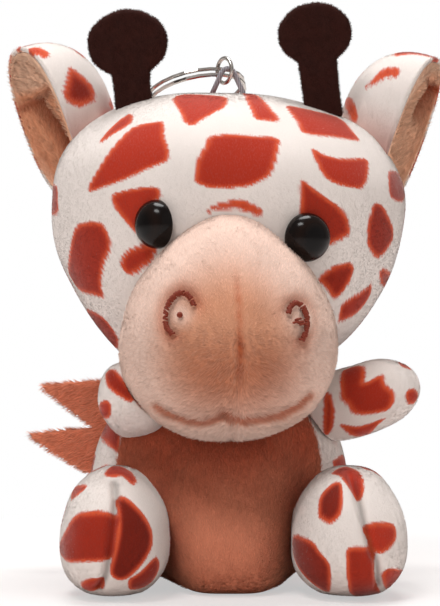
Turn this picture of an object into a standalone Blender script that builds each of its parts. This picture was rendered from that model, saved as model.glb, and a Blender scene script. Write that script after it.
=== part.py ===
# A small seated plush giraffe: big round head, peach muzzle, felt horns, folded ears, printed coat.
# Metres, +Z up. Its front faces -Y. Left and right are the giraffe's own, so its left is at +X.
# The origin is on the surface that it sits on, under the middle of the body.
import math
from functools import partial

import bmesh
import bpy
from mathutils import Matrix, Vector

MM = 0.001

# Fabric, seams and play
COVER_WALL = 0.9 * MM
SEAM_GAP = 0.3 * MM
FLEX_GAP = 0.35 * MM
FLAT_DEPTH = 0.5 * MM
OVERRUN = 30.0 * MM

# Head
HEAD_HALF_WIDTH = 33.7 * MM
HEAD_FRONT = 28.0 * MM
HEAD_BACK = 28.0 * MM
HEAD_RISE = 21.4 * MM
HEAD_DROP = 37.0 * MM
HEAD_CENTRE_HEIGHT = 70.5 * MM
HEAD_FULLNESS_SHARE = 2.3
HEAD_TUCK_SHARE = 0.27
HEAD_ROLL = math.radians(3)
NOD_PIVOT_HEIGHT = 37.0 * MM
NOD_PIVOT_BACK = 2.0 * MM
NOD_LIMITS = (math.radians(-8), 0.0)

# Muzzle
MUZZLE_HALF_WIDTH = 19.9 * MM
MUZZLE_FRONT = 20.0 * MM
MUZZLE_BACK = 11.0 * MM
MUZZLE_RISE = 24.0 * MM
MUZZLE_DROP = 17.2 * MM
MUZZLE_FORWARD = 26.0 * MM
MUZZLE_HEIGHT = 44.5 * MM
MUZZLE_FULLNESS_SHARE = 2.1
MUZZLE_NARROW_SHARE = 0.35
MUZZLE_SLOPE_SHARE = 0.35
MUZZLE_TURN = math.radians(6)

# Eyes with their shanks and lock washers
EYE_RADIUS = 4.4 * MM
EYE_DOME = 3.6 * MM
EYE_RIM = 0.5 * MM
EYE_SPREAD = {"left": 13.75 * MM, "right": 12.6 * MM}
EYE_HEIGHT = {"left": 63.8 * MM, "right": 66.1 * MM}
SHANK_RADIUS = 1.2 * MM
SHANK_LENGTH = 7.0 * MM
SHANK_HOLE_DEPTH = 5.0 * MM
WASHER_RADIUS = 3.6 * MM
WASHER_THICKNESS = 0.9 * MM
WASHER_HUB_RADIUS = 2.0 * MM
WASHER_HUB_LENGTH = 1.2 * MM
WASHER_GRIP = 0.1 * MM

# Embroidery on the muzzle
THREAD_RADIUS = 0.4 * MM
NOSTRIL_WIDTH = 2.4 * MM
NOSTRIL_RISE = 3.6 * MM
NOSTRIL_SPREAD_SHARE = 0.53
NOSTRIL_HEIGHT_SHARE = 0.25
NOSTRIL_ARC = (math.radians(35), math.radians(250))
MOUTH_SHARES = ((-0.62, -0.66), (-0.35, -0.79), (-0.11, -0.71), (0.145, -0.79), (0.4, -0.76), (0.62, -0.62))

# Horns
HORN_RADIUS = {"left": 6.8 * MM, "right": 7.4 * MM}
HORN_STEM_WIDTH = 7.2 * MM
HORN_THICKNESS = 2.6 * MM
HORN_ROUNDING = 0.8 * MM
HORN_FLATTEN_SHARE = 0.84
HORN_HEIGHT = {"left": 19.4 * MM, "right": 16.9 * MM}
HORN_SPREAD = 17.6 * MM
HORN_FORWARD = 8.0 * MM
HORN_LEAN = math.radians(6)
HORN_ROOT_DEPTH = 4.0 * MM
HORN_FLEX = math.radians(10)

# Ears
EAR_HALF_WIDTH = 10.0 * MM
EAR_HALF_LENGTH = 15.6 * MM
EAR_DEPTH = 14.0 * MM
EAR_LAYER = 0.9 * MM
EAR_SPREAD = {"left": 34.6 * MM, "right": 34.8 * MM}
EAR_BACK = 1.0 * MM
EAR_ABOVE = {"left": 13.3 * MM, "right": 15.1 * MM}
EAR_LEAN = math.radians(19)
EAR_NOD = math.radians(8)
EAR_TURN = {"left": math.radians(69), "right": math.radians(61)}
EAR_FULLNESS_SHARE = 2.4
EAR_FLEX = math.radians(10)
EAR_SEAM_TOP_ABOVE = 17.5 * MM
EAR_SEAM_BOTTOM_ABOVE = 2.5 * MM

# Body
BODY_HALF_WIDTH = 25.0 * MM
BODY_FRONT = 24.0 * MM
BODY_BACK = 20.0 * MM
BODY_RISE = 24.0 * MM
BODY_CENTRE_HEIGHT = 15.5 * MM
BODY_SIDE_SHIFT = -1.7 * MM
BODY_BACK_SHIFT = 1.0 * MM
BODY_FULLNESS_SHARE = 2.3
BELLY_HALF_WIDTH = 19.6 * MM
BELLY_TOP = 42.5 * MM
BELLY_BACK = 4.0 * MM

# Arms: where each leaves the body, where it points, how long it is
ARM_RADIUS = 6.9 * MM
ARM_TAPER_SHARE = -0.06
ARM_FULLNESS_SHARE = 2.5
ARM_ROOT_DEPTH = 5.0 * MM
ARM_SHOULDER = {
    "left": (17.0 * MM, -6.5 * MM, 31.1 * MM),
    "right": (-16.0 * MM, -11.0 * MM, 32.3 * MM),
}
ARM_POINTS_SHARE = {"left": (0.88, -0.34, 0.33), "right": (-0.12, -0.95, 0.3)}
ARM_REACH = {"left": 20.3 * MM, "right": 17.0 * MM}
ARM_LIMITS = {
    "left": (math.radians(-6), math.radians(25)),
    "right": (0.0, math.radians(12)),
}
ARM_AXIS = {"left": (0, 1, 0), "right": (1, 0, 0)}

# Legs
LEG_HALF_WIDTH = {"left": 10.7 * MM, "right": 10.2 * MM}
LEG_SPREAD = {"left": 21.4 * MM, "right": 20.2 * MM}
LEG_FRONT = 15.5 * MM
LEG_BACK = 15.5 * MM
LEG_FORWARD = 27.5 * MM
LEG_CENTRE_HEIGHT = 9.3 * MM
LEG_RISE = 14.0 * MM
LEG_NARROW_SHARE = 0.14
LEG_FULLNESS_SHARE = 2.4
LEG_HIP_HEIGHT = 10.5 * MM
LEG_LIMITS = (math.radians(-12), math.radians(6))

# Mane strip: two flaps on the body that lie over to its right, three more down the head
MANE_THICKNESS = 1.6 * MM
MANE_ROOT_SIDE = 6.0 * MM
MANE_ROOT_TOP = 36.3 * MM
MANE_BACK = 10.0 * MM
MANE_PITCH = 9.4 * MM
MANE_FLAPS = (30.8 * MM, 33.2 * MM)
MANE_NOTCH = 20.0 * MM
MANE_DROP = 0.8 * MM
MANE_TURN = math.radians(6)
HEAD_MANE_FLAPS = 3
HEAD_MANE_FLAP = 7.5 * MM
HEAD_MANE_NOTCH = 2.0 * MM
HEAD_MANE_ROOT = 5.0 * MM
HEAD_MANE_ABOVE = 14.0 * MM
HEAD_MANE_BELOW = 18.0 * MM

# Tail
TAIL_STEM_RADIUS = 1.5 * MM
TAIL_TUFT_RADIUS = 2.8 * MM
TAIL_STEM_LENGTH = 8.0 * MM
TAIL_TUFT_LENGTH = 8.0 * MM
TAIL_HEIGHT = 11.0 * MM
TAIL_SLOPE = math.radians(22)
TAIL_TUFT_SHARE = 0.86

# Hanging cord loop, jump ring and split ring
LOOP_HALF_WIDTH = 3.0 * MM
LOOP_HEIGHT = 5.0 * MM
LOOP_FOLD_RADIUS = 1.3 * MM
LOOP_FOLD_ARC = (math.radians(162), math.radians(18))
LOOP_CORD_RADIUS = 0.55 * MM
LOOP_SIDE = 0.0 * MM
LOOP_BACK = 5.0 * MM
JUMP_RING_RADIUS = 2.4 * MM
JUMP_WIRE_RADIUS = 0.4 * MM
JUMP_TURN = math.radians(35)
JUMP_DIP = math.radians(15)
SPLIT_RING_RADIUS = 9.5 * MM
SPLIT_WIRE_RADIUS = 0.4 * MM
SPLIT_WIRE_GAP = 0.45 * MM
SPLIT_TURNS = 2
SPLIT_TURN_STEPS = 24
SPLIT_OFFSET = 0.8 * MM
SPLIT_DIP = math.radians(22)

# Mesh fineness, counted around and from pole to pole
LARGE_FORM_STEPS = (24, 16)
LARGE_INNER_STEPS = (16, 12)
SMALL_FORM_STEPS = (16, 12)
SMALL_INNER_STEPS = (12, 8)
TURNED_STEPS = 20
ARC_STEPS = 24
MERGE_DISTANCE = 0.01 * MM

SIDES = {"left": 1, "right": -1}
Z_AXIS = Vector((0, 0, 1))


def clear_scene():
    for item in list(bpy.data.objects):
        bpy.data.objects.remove(item, do_unlink=True)


def make_collection(name):
    collection = bpy.data.collections.new(name)
    bpy.context.scene.collection.children.link(collection)
    return collection


def plain_material(name, colour, roughness, metallic=0.0):
    material = bpy.data.materials.new(name)
    material.use_nodes = True
    shader = material.node_tree.nodes["Principled BSDF"]
    shader.inputs["Base Color"].default_value = (*colour, 1.0)
    shader.inputs["Roughness"].default_value = roughness
    shader.inputs["Metallic"].default_value = metallic
    material.diffuse_color = (*colour, 1.0)
    return material


def add_object(name, data, material=None, matrix=None, cutter=False):
    item = bpy.data.objects.new(name, data)
    (CUTTERS if cutter else PARTS).objects.link(item)
    if matrix is not None:
        item.matrix_world = matrix
    if material is not None:
        data.materials.append(material)
    if cutter:
        item.hide_render = True
        item.display_type = "WIRE"
    return item


# Soft forms: a sphere swollen to unlike half sizes, fuller or leaner by its exponent


def head_form(grow=0.0):
    return {
        "width": HEAD_HALF_WIDTH + grow,
        "front": HEAD_FRONT + grow,
        "back": HEAD_BACK + grow,
        "rise": HEAD_RISE + grow,
        "drop": HEAD_DROP + grow,
        "fullness": HEAD_FULLNESS_SHARE,
        "tuck": HEAD_TUCK_SHARE,
        "matrix": Matrix.Translation((0, 0, HEAD_CENTRE_HEIGHT)) @ Matrix.Rotation(HEAD_ROLL, 4, "Y"),
        "steps": LARGE_INNER_STEPS if grow < 0 else LARGE_FORM_STEPS,
    }


def muzzle_form(grow=0.0):
    place = (0, -MUZZLE_FORWARD, MUZZLE_HEIGHT)
    return {
        "width": MUZZLE_HALF_WIDTH + grow,
        "front": MUZZLE_FRONT + grow,
        "back": MUZZLE_BACK + grow,
        "rise": MUZZLE_RISE + grow,
        "drop": MUZZLE_DROP + grow,
        "fullness": MUZZLE_FULLNESS_SHARE,
        "narrow": MUZZLE_NARROW_SHARE,
        "slope": MUZZLE_SLOPE_SHARE,
        "matrix": Matrix.Translation(place) @ Matrix.Rotation(MUZZLE_TURN, 4, "Z"),
        "steps": LARGE_INNER_STEPS if grow < 0 else LARGE_FORM_STEPS,
    }


def body_form(grow=0.0):
    return {
        "width": BODY_HALF_WIDTH + grow,
        "front": BODY_FRONT + grow,
        "back": BODY_BACK + grow,
        "rise": BODY_RISE + grow,
        "drop": BODY_CENTRE_HEIGHT + FLAT_DEPTH + grow,
        "fullness": BODY_FULLNESS_SHARE,
        "matrix": Matrix.Translation((BODY_SIDE_SHIFT, BODY_BACK_SHIFT, BODY_CENTRE_HEIGHT)),
        "steps": LARGE_INNER_STEPS if grow < 0 else LARGE_FORM_STEPS,
    }


def arm_form(side, grow=0.0):
    points = Vector(ARM_POINTS_SHARE[side]).normalized()
    half_length = (ARM_REACH[side] + ARM_ROOT_DEPTH) / 2
    centre = Vector(ARM_SHOULDER[side]) + points * (ARM_REACH[side] - half_length)
    return {
        "width": ARM_RADIUS + grow,
        "front": ARM_RADIUS + grow,
        "back": ARM_RADIUS + grow,
        "rise": half_length + grow,
        "drop": half_length + grow,
        "fullness": ARM_FULLNESS_SHARE,
        "narrow": ARM_TAPER_SHARE,
        "matrix": Matrix.Translation(centre) @ points.to_track_quat("Z", "Y").to_matrix().to_4x4(),
        "steps": SMALL_INNER_STEPS if grow < 0 else SMALL_FORM_STEPS,
    }


def leg_form(side, grow=0.0):
    return {
        "width": LEG_HALF_WIDTH[side] + grow,
        "front": LEG_FRONT + grow,
        "back": LEG_BACK + grow,
        "rise": LEG_RISE + grow,
        "drop": LEG_CENTRE_HEIGHT + FLAT_DEPTH + grow,
        "fullness": LEG_FULLNESS_SHARE,
        "narrow": LEG_NARROW_SHARE,
        "matrix": Matrix.Translation((SIDES[side] * LEG_SPREAD[side], -LEG_FORWARD, LEG_CENTRE_HEIGHT)),
        "steps": SMALL_INNER_STEPS if grow < 0 else SMALL_FORM_STEPS,
    }


def ear_form(side, grow=0.0):
    sign = SIDES[side]
    place = (sign * EAR_SPREAD[side], EAR_BACK, HEAD_CENTRE_HEIGHT + EAR_ABOVE[side])
    lean = Matrix.Rotation(sign * EAR_LEAN, 4, "Y") @ Matrix.Rotation(EAR_NOD, 4, "X")
    turn = lean @ Matrix.Rotation(sign * EAR_TURN[side], 4, "Z")
    return {
        "width": EAR_HALF_WIDTH + grow,
        "front": EAR_DEPTH + grow,
        "back": EAR_DEPTH + grow,
        "rise": EAR_HALF_LENGTH + grow,
        "drop": EAR_HALF_LENGTH + grow,
        "fullness": EAR_FULLNESS_SHARE,
        "narrow": 0.0,
        "matrix": Matrix.Translation(place) @ turn,
        "steps": SMALL_FORM_STEPS,
    }


def form_shares(form, height):
    """How far the width and the front draw in at a height, given as a share of the rise or the drop."""
    above = max(height, 0.0)
    below = max(-height, 0.0)
    narrowed = 1.0 - form.get("narrow", 0.0) * above * above - form.get("tuck", 0.0) * below * below
    sloped = 1.0 - form.get("slope", 0.0) * above
    return narrowed, sloped


def form_point(form, direction):
    fullness = form["fullness"]
    reach = sum(abs(part) ** fullness for part in direction) ** (-1.0 / fullness)
    x, y, z = direction * reach
    narrowed, sloped = form_shares(form, z)
    depth = form["front"] * sloped if y < 0 else form["back"]
    height = form["rise"] if z > 0 else form["drop"]
    return Vector((x * form["width"] * narrowed, y * depth, z * height))


def form_level(form, point):
    """Below 1 inside the form, above 1 outside, for a point in its own frame."""
    fullness = form["fullness"]
    z = point.z / (form["rise"] if point.z > 0 else form["drop"])
    narrowed, sloped = form_shares(form, z)
    y = point.y / (form["front"] * sloped if point.y < 0 else form["back"])
    x = point.x / (form["width"] * narrowed)
    return abs(x) ** fullness + abs(y) ** fullness + abs(z) ** fullness


def form_seat(form, near, along):
    """Point and outward normal in world space where a line from near, running along, leaves the form."""
    inverse = form["matrix"].inverted()
    start = inverse @ Vector(near)
    way = (inverse.to_3x3() @ Vector(along)).normalized()
    low, high = 0.0, form["width"] + form["front"] + form["drop"]
    for _ in range(40):
        middle = (low + high) / 2
        if form_level(form, start + way * middle) < 1:
            low = middle
        else:
            high = middle
    point = start + way * high
    step = form["width"] / 1000
    slope = Vector(
        form_level(form, point + axis * step) - form_level(form, point - axis * step)
        for axis in (Vector((1, 0, 0)), Vector((0, 1, 0)), Z_AXIS)
    )
    return form["matrix"] @ point, (form["matrix"].to_3x3() @ slope).normalized()


def form_object(name, form, material=None, cutter=False):
    mesh = bpy.data.meshes.new(name)
    shape = bmesh.new()
    around, rows = form["steps"]
    bmesh.ops.create_uvsphere(shape, u_segments=around, v_segments=rows, radius=1.0)
    for corner in shape.verts:
        corner.co = form_point(form, corner.co.normalized())
    shape.to_mesh(mesh)
    shape.free()
    mesh.shade_smooth()
    return add_object(name, mesh, material, form["matrix"], cutter)


def boolean(item, other, operation="DIFFERENCE"):
    cut = item.modifiers.new(other.name, "BOOLEAN")
    cut.operation = operation
    cut.object = other


def box_cutter(name, low, high, matrix=None):
    """A box between two corners, which the matrix may turn."""
    low, high = Vector(low), Vector(high)
    mesh = bpy.data.meshes.new(name)
    shape = bmesh.new()
    bmesh.ops.create_cube(shape, size=1.0)
    for corner in shape.verts:
        corner.co = [a + (b - a) * (c + 0.5) for a, b, c in zip(low, high, corner.co)]
    shape.to_mesh(mesh)
    shape.free()
    return add_object(name, mesh, None, matrix or Matrix(), cutter=True)


def round_cutter(name, centre, along, radius, length, stretch=(1, 1)):
    """A cylinder centred on a point, with its axis along a direction."""
    mesh = bpy.data.meshes.new(name)
    shape = bmesh.new()
    bmesh.ops.create_cone(
        shape, cap_ends=True, segments=TURNED_STEPS, radius1=radius, radius2=radius, depth=length
    )
    for corner in shape.verts:
        corner.co.x *= stretch[0]
        corner.co.y *= stretch[1]
    shape.to_mesh(mesh)
    shape.free()
    turn = Vector(along).to_track_quat("Z", "Y").to_matrix().to_4x4()
    return add_object(name, mesh, None, Matrix.Translation(centre) @ turn, cutter=True)


def swing_cutters(name, form, pivot, axis, angles):
    """A form as it lies at rest and turned about the pivot by each of the angles."""
    cutters = []
    there = Matrix.Translation(pivot)
    for number, angle in enumerate((0.0, *angles)):
        if number and not angle:
            continue
        cutter = form_object(f"{name}_swing_{number}", form, cutter=True)
        turn = Matrix.Rotation(angle, 4, Vector(axis))
        cutter.matrix_world = there @ turn @ there.inverted() @ form["matrix"]
        cutters.append(cutter)
    return cutters


def seen_from_limb(limits):
    """The angles by which a fixed neighbour turns, as a piece that moves between the limits meets it."""
    return [-angle for angle in limits]


def turned(name, profile, matrix, material):
    """A solid of revolution about its own Z, from profile points (radius, height) listed top to bottom."""
    mesh = bpy.data.meshes.new(name)
    points = [(radius, 0.0, height) for radius, height in profile]
    closed = profile[0][0] > 0
    edges = [(n, n + 1) for n in range(len(points) - 1)]
    if closed:
        edges.append((len(points) - 1, 0))
    mesh.from_pydata(points, edges, [])
    item = add_object(name, mesh, material, matrix)
    screw = item.modifiers.new("Turn", "SCREW")
    screw.steps = TURNED_STEPS
    screw.render_steps = TURNED_STEPS
    screw.use_merge_vertices = True
    screw.merge_threshold = MERGE_DISTANCE
    screw.use_smooth_shade = True
    return item


def wire(name, points, radius, material, matrix=None, closed=False):
    """A round wire or thread along a list of points."""
    curve = bpy.data.curves.new(name, "CURVE")
    curve.dimensions = "3D"
    curve.bevel_depth = radius
    curve.bevel_resolution = 1
    curve.use_fill_caps = True
    curve.resolution_u = 1
    line = curve.splines.new("POLY")
    line.points.add(len(points) - 1)
    for place, point in zip(line.points, points):
        place.co = (*point, 1.0)
    line.use_cyclic_u = closed
    return add_object(name, curve, material, matrix)


def flat_shape(name, outlines, thickness, material, matrix, rounding=0.0):
    """A flat piece in its own XY plane, centred on it, from one or more closed outlines."""
    curve = bpy.data.curves.new(name, "CURVE")
    curve.dimensions = "2D"
    curve.fill_mode = "BOTH"
    curve.extrude = thickness / 2 - rounding
    curve.bevel_depth = rounding
    curve.bevel_resolution = 1 if rounding else 0
    curve.offset = -rounding
    curve.resolution_u = 1
    for outline in outlines:
        line = curve.splines.new("POLY")
        line.points.add(len(outline) - 1)
        for place, (x, y) in zip(line.points, outline):
            place.co = (x, y, 0.0, 1.0)
        line.use_cyclic_u = True
    guide = add_object(f"{name}_outline", curve, None, matrix, cutter=True)
    graph = bpy.context.evaluated_depsgraph_get()
    mesh = bpy.data.meshes.new_from_object(guide.evaluated_get(graph))
    mesh.name = name
    bpy.data.objects.remove(guide, do_unlink=True)
    shape = bmesh.new()
    shape.from_mesh(mesh)
    bmesh.ops.remove_doubles(shape, verts=shape.verts, dist=MERGE_DISTANCE)
    bmesh.ops.recalc_face_normals(shape, faces=shape.faces)
    shape.to_mesh(mesh)
    shape.free()
    mesh.materials.clear()
    return add_object(name, mesh, material, matrix)


def arc(centre, radius, start, end, steps):
    """Points along an arc, both ends included."""
    return [
        (
            centre[0] + radius * math.cos(start + (end - start) * n / steps),
            centre[1] + radius * math.sin(start + (end - start) * n / steps),
        )
        for n in range(steps + 1)
    ]


def through(points, steps):
    """A smooth line through the points, with a number of steps between each two."""
    ends = [points[0] * 2 - points[1], *points, points[-1] * 2 - points[-2]]
    line = []
    for a, b, c, d in zip(ends, ends[1:], ends[2:], ends[3:]):
        for n in range(steps):
            t = n / steps
            bend = (a * 2 - b * 5 + c * 4 - d) * t**2
            turn = (b * 3 - a - c * 3 + d) * t**3
            line.append((b * 2 + (c - a) * t + bend + turn) / 2)
    return line + [points[-1]]


def make_materials():
    return {
        "coat": plain_material("printed_plush", (0.80, 0.62, 0.56), 0.9),
        "peach": plain_material("peach_plush", (0.80, 0.50, 0.35), 0.9),
        "belly": plain_material("red_brown_plush", (0.36, 0.10, 0.045), 0.9),
        "lining": plain_material("ear_lining_plush", (0.62, 0.27, 0.14), 0.9),
        "mane": plain_material("mane_plush", (0.50, 0.11, 0.04), 0.9),
        "felt": plain_material("dark_brown_felt", (0.05, 0.014, 0.01), 0.95),
        "fibre": plain_material("white_fibre", (0.85, 0.85, 0.83), 1.0),
        "eye": plain_material("eye_plastic", (0.015, 0.009, 0.007), 0.08),
        "washer": plain_material("white_plastic", (0.8, 0.8, 0.78), 0.4),
        "thread": plain_material("brown_thread", (0.2, 0.045, 0.02), 0.7),
        "cord": plain_material("grey_cord", (0.55, 0.53, 0.55), 0.6),
        "steel": plain_material("plated_steel", (0.72, 0.71, 0.70), 0.25, 1.0),
    }


def nod_pivot():
    return Vector((0, NOD_PIVOT_BACK, NOD_PIVOT_HEIGHT))


def eye_seat(side):
    near = (SIDES[side] * EYE_SPREAD[side], 0, EYE_HEIGHT[side])
    point, normal = form_seat(head_form(), near, (0, -1, 0))
    return Matrix.Translation(point) @ normal.to_track_quat("Z", "Y").to_matrix().to_4x4()


def make_torso(materials):
    """Belly panel, back panel and their stuffing, pressed in by the head and flat where the toy sits."""
    floor = box_cutter("floor", (-OVERRUN * 2, -OVERRUN * 2, -OVERRUN), (OVERRUN * 2, OVERRUN * 2, 0))
    cavity = form_object("body_cavity", body_form(-COVER_WALL), cutter=True)
    presses = swing_cutters("head", head_form(SEAM_GAP), nod_pivot(), (1, 0, 0), NOD_LIMITS)
    presses += swing_cutters("muzzle", muzzle_form(SEAM_GAP), nod_pivot(), (1, 0, 0), NOD_LIMITS)
    belly_half_height = (BELLY_TOP - FLAT_DEPTH) / 2
    for name, material, grow, operation in (
        ("belly_panel", "belly", 0.0, "INTERSECT"),
        ("back_panel", "coat", SEAM_GAP, "DIFFERENCE"),
    ):
        panel = form_object(name, body_form(), materials[material])
        edge = round_cutter(
            f"{name}_edge",
            (BODY_SIDE_SHIFT, -BELLY_BACK - OVERRUN, belly_half_height),
            (0, 1, 0),
            1.0,
            (OVERRUN + grow) * 2,
            (BELLY_HALF_WIDTH + grow, belly_half_height + grow),
        )
        for cutter in (cavity, floor, *presses):
            boolean(panel, cutter)
        boolean(panel, edge, operation)
    stuffing = form_object("body_stuffing", body_form(-COVER_WALL - SEAM_GAP), materials["fibre"])
    for cutter in (floor, *presses):
        boolean(stuffing, cutter)


def make_head(materials):
    cover = form_object("head_cover", head_form(), materials["coat"])
    boolean(cover, form_object("head_cavity", head_form(-COVER_WALL), cutter=True))
    muzzle_cavity = form_object("muzzle_cavity", muzzle_form(-COVER_WALL), cutter=True)
    boolean(cover, muzzle_cavity)
    stuffing = form_object("head_stuffing", head_form(-COVER_WALL - SEAM_GAP), materials["fibre"])
    boolean(stuffing, form_object("muzzle_lobe", muzzle_form(-COVER_WALL - SEAM_GAP), cutter=True), "UNION")
    for side in SIDES:
        seat = eye_seat(side)
        along = seat.col[2].xyz
        hole_radius = SHANK_RADIUS + SEAM_GAP
        pocket_radius = WASHER_RADIUS + SEAM_GAP
        inside = seat.translation - along * (COVER_WALL + SEAM_GAP + SHANK_LENGTH / 2)
        hole = round_cutter(f"eye_{side}_hole", seat.translation, along, hole_radius, SHANK_HOLE_DEPTH)
        washer_seat = round_cutter(f"eye_{side}_washer_seat", inside, along, pocket_radius, SHANK_LENGTH)
        boolean(cover, hole)
        boolean(cover, washer_seat)
        pocket_length = (SHANK_LENGTH + SEAM_GAP) * 2
        pocket = round_cutter(f"eye_{side}_pocket", seat.translation, along, pocket_radius, pocket_length)
        room = eye_room(side)
        boolean(stuffing, pocket)
        boolean(stuffing, room)
    face = form_object("face", head_form(SEAM_GAP), cutter=True)
    for side, sign in SIDES.items():
        panel = form_object(f"muzzle_panel_{side}", muzzle_form(), materials["peach"])
        other_half = box_cutter(
            f"muzzle_{side}_other_half",
            (-OVERRUN if sign > 0 else -SEAM_GAP / 2, -OVERRUN, -OVERRUN),
            (SEAM_GAP / 2 if sign > 0 else OVERRUN, OVERRUN, OVERRUN),
            muzzle_form()["matrix"],
        )
        for cutter in (muzzle_cavity, face, bpy.data.objects[f"eye_{side}_room"], other_half):
            boolean(panel, cutter)


def eye_room(side):
    """The room that an eye takes where the muzzle comes near it."""
    return form_object(
        f"eye_{side}_room",
        {
            "width": EYE_RADIUS + SEAM_GAP,
            "front": EYE_RADIUS + SEAM_GAP,
            "back": EYE_RADIUS + SEAM_GAP,
            "rise": EYE_DOME + EYE_RIM + SEAM_GAP * 2,
            "drop": EYE_DOME,
            "fullness": 2,
            "matrix": eye_seat(side),
            "steps": SMALL_FORM_STEPS,
        },
        cutter=True,
    )


def make_eyes(materials):
    for side in SIDES:
        seat = eye_seat(side)
        dome = [
            (x, SEAM_GAP + EYE_RIM + y * EYE_DOME / EYE_RADIUS)
            for x, y in arc((0, 0), EYE_RADIUS, math.pi / 2, 0, ARC_STEPS // 3)
        ]
        dome[0] = (0.0, SEAM_GAP + EYE_RIM + EYE_DOME)
        shank = [
            (EYE_RADIUS, SEAM_GAP),
            (SHANK_RADIUS, SEAM_GAP),
            (SHANK_RADIUS, -SHANK_LENGTH),
            (0.0, -SHANK_LENGTH),
        ]
        turned(f"eye_{side}", dome + shank, seat, materials["eye"])
        top = -COVER_WALL - SEAM_GAP * 2
        bore = SHANK_RADIUS + WASHER_GRIP
        washer = [
            (bore, top),
            (WASHER_RADIUS, top),
            (WASHER_RADIUS, top - WASHER_THICKNESS),
            (WASHER_HUB_RADIUS, top - WASHER_THICKNESS),
            (WASHER_HUB_RADIUS, top - WASHER_THICKNESS - WASHER_HUB_LENGTH),
            (bore, top - WASHER_THICKNESS - WASHER_HUB_LENGTH),
        ]
        turned(f"eye_washer_{side}", washer, seat, materials["washer"])


def on_muzzle(x, z, lift):
    """A point over the front of the muzzle, for a place given in the muzzle's own frame."""
    form = muzzle_form()
    forward = form["matrix"].to_3x3() @ Vector((0, -1, 0))
    point, normal = form_seat(form, form["matrix"] @ Vector((x, 0, z)), forward)
    return point + normal * lift


def make_embroidery(materials):
    lift = THREAD_RADIUS + SEAM_GAP
    for side, sign in SIDES.items():
        outline = [
            (
                sign * (NOSTRIL_SPREAD_SHARE * MUZZLE_HALF_WIDTH - x),
                NOSTRIL_HEIGHT_SHARE * MUZZLE_RISE + z * NOSTRIL_RISE / NOSTRIL_WIDTH,
            )
            for x, z in arc((0, 0), NOSTRIL_WIDTH, *NOSTRIL_ARC, ARC_STEPS // 2)
        ]
        line = [on_muzzle(x, z, lift) for x, z in outline]
        wire(f"nostril_{side}", line, THREAD_RADIUS, materials["thread"])
    marks = [Vector((x * MUZZLE_HALF_WIDTH, 0, z * MUZZLE_DROP)) for x, z in MOUTH_SHARES]
    mouth = [on_muzzle(place.x, place.z, lift) for place in through(marks, 4)]
    wire("mouth_stitching", mouth, THREAD_RADIUS, materials["thread"])


def horn_seat(side):
    near = (SIDES[side] * HORN_SPREAD, -HORN_FORWARD, HEAD_CENTRE_HEIGHT)
    return form_seat(head_form(), near, Z_AXIS)[0]


def make_horns(materials):
    """Felt horns: a round end on a stem, both leaning to the giraffe's right."""
    for side in SIDES:
        radius = HORN_RADIUS[side]
        half_stem = HORN_STEM_WIDTH / 2
        neck = math.asin(half_stem / radius)
        middle = HORN_HEIGHT[side] - radius * HORN_FLATTEN_SHARE
        disc = arc((0, 0), radius, neck - math.pi / 2, math.pi * 3 / 2 - neck, ARC_STEPS)
        outline = [(x, middle + y * HORN_FLATTEN_SHARE) for x, y in disc]
        outline += [(-half_stem, -HORN_ROOT_DEPTH), (half_stem, -HORN_ROOT_DEPTH)]
        seat = horn_seat(side)
        stand = Matrix.Rotation(-HORN_LEAN, 4, "Y") @ Matrix.Rotation(math.pi / 2, 4, "X")
        matrix = Matrix.Translation(seat) @ stand
        horn = flat_shape(f"horn_{side}", [outline], HORN_THICKNESS, materials["felt"], matrix, HORN_ROUNDING)
        angles = (-HORN_FLEX, HORN_FLEX)
        for swing in swing_cutters(f"horn_{side}", head_form(FLEX_GAP), seat, (1, 0, 0), angles):
            boolean(horn, swing)


def ear_seam(side):
    """Both ends of the seam that the ear bends about, on the head."""
    ends = []
    for above in (EAR_SEAM_BOTTOM_ABOVE, EAR_SEAM_TOP_ABOVE):
        near = (0, EAR_BACK, HEAD_CENTRE_HEIGHT + above)
        ends.append(form_seat(head_form(), near, (SIDES[side], 0, 0))[0])
    return ends


def make_ears(materials):
    """Each ear is a printed back with a lining in it, open to the front and sewn to the head."""
    for side in SIDES:
        bottom, top = ear_seam(side)
        middle = (bottom + top) / 2
        angles = (-EAR_FLEX, EAR_FLEX)
        swings = swing_cutters(f"ear_{side}", head_form(FLEX_GAP), middle, top - bottom, angles)
        front = box_cutter(
            f"ear_{side}_front",
            (-OVERRUN, -OVERRUN, -OVERRUN),
            (OVERRUN, 0, OVERRUN),
            ear_form(side)["matrix"],
        )
        for layer, material, depth in (("back", "coat", 0.0), ("lining", "lining", EAR_LAYER + SEAM_GAP)):
            ear = form_object(f"ear_{side}_{layer}", ear_form(side, -depth), materials[material])
            inside = ear_form(side, -depth - EAR_LAYER)
            hollow = form_object(f"ear_{side}_{layer}_hollow", inside, cutter=True)
            for cutter in (hollow, front, *swings):
                boolean(ear, cutter)


def make_limb(name, form, pivot, axis, limits, neighbours, materials):
    """A cover and its stuffing, cut by the larger forms that they swing beside."""
    cutters = [bpy.data.objects["floor"]]
    for neighbour, shape in neighbours.items():
        cutters += swing_cutters(f"{name}_{neighbour}", shape, pivot, axis, seen_from_limb(limits))
    cover = form_object(f"{name}_cover", form(), materials["coat"])
    boolean(cover, form_object(f"{name}_cavity", form(-COVER_WALL), cutter=True))
    stuffing = form_object(f"{name}_stuffing", form(-COVER_WALL - SEAM_GAP), materials["fibre"])
    for cutter in cutters:
        boolean(cover, cutter)
        boolean(stuffing, cutter)


def leg_hip(side):
    near = (SIDES[side] * LEG_SPREAD[side] + BODY_SIDE_SHIFT, 0, LEG_HIP_HEIGHT)
    return form_seat(body_form(), near, (0, -1, 0))[0]


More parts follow.
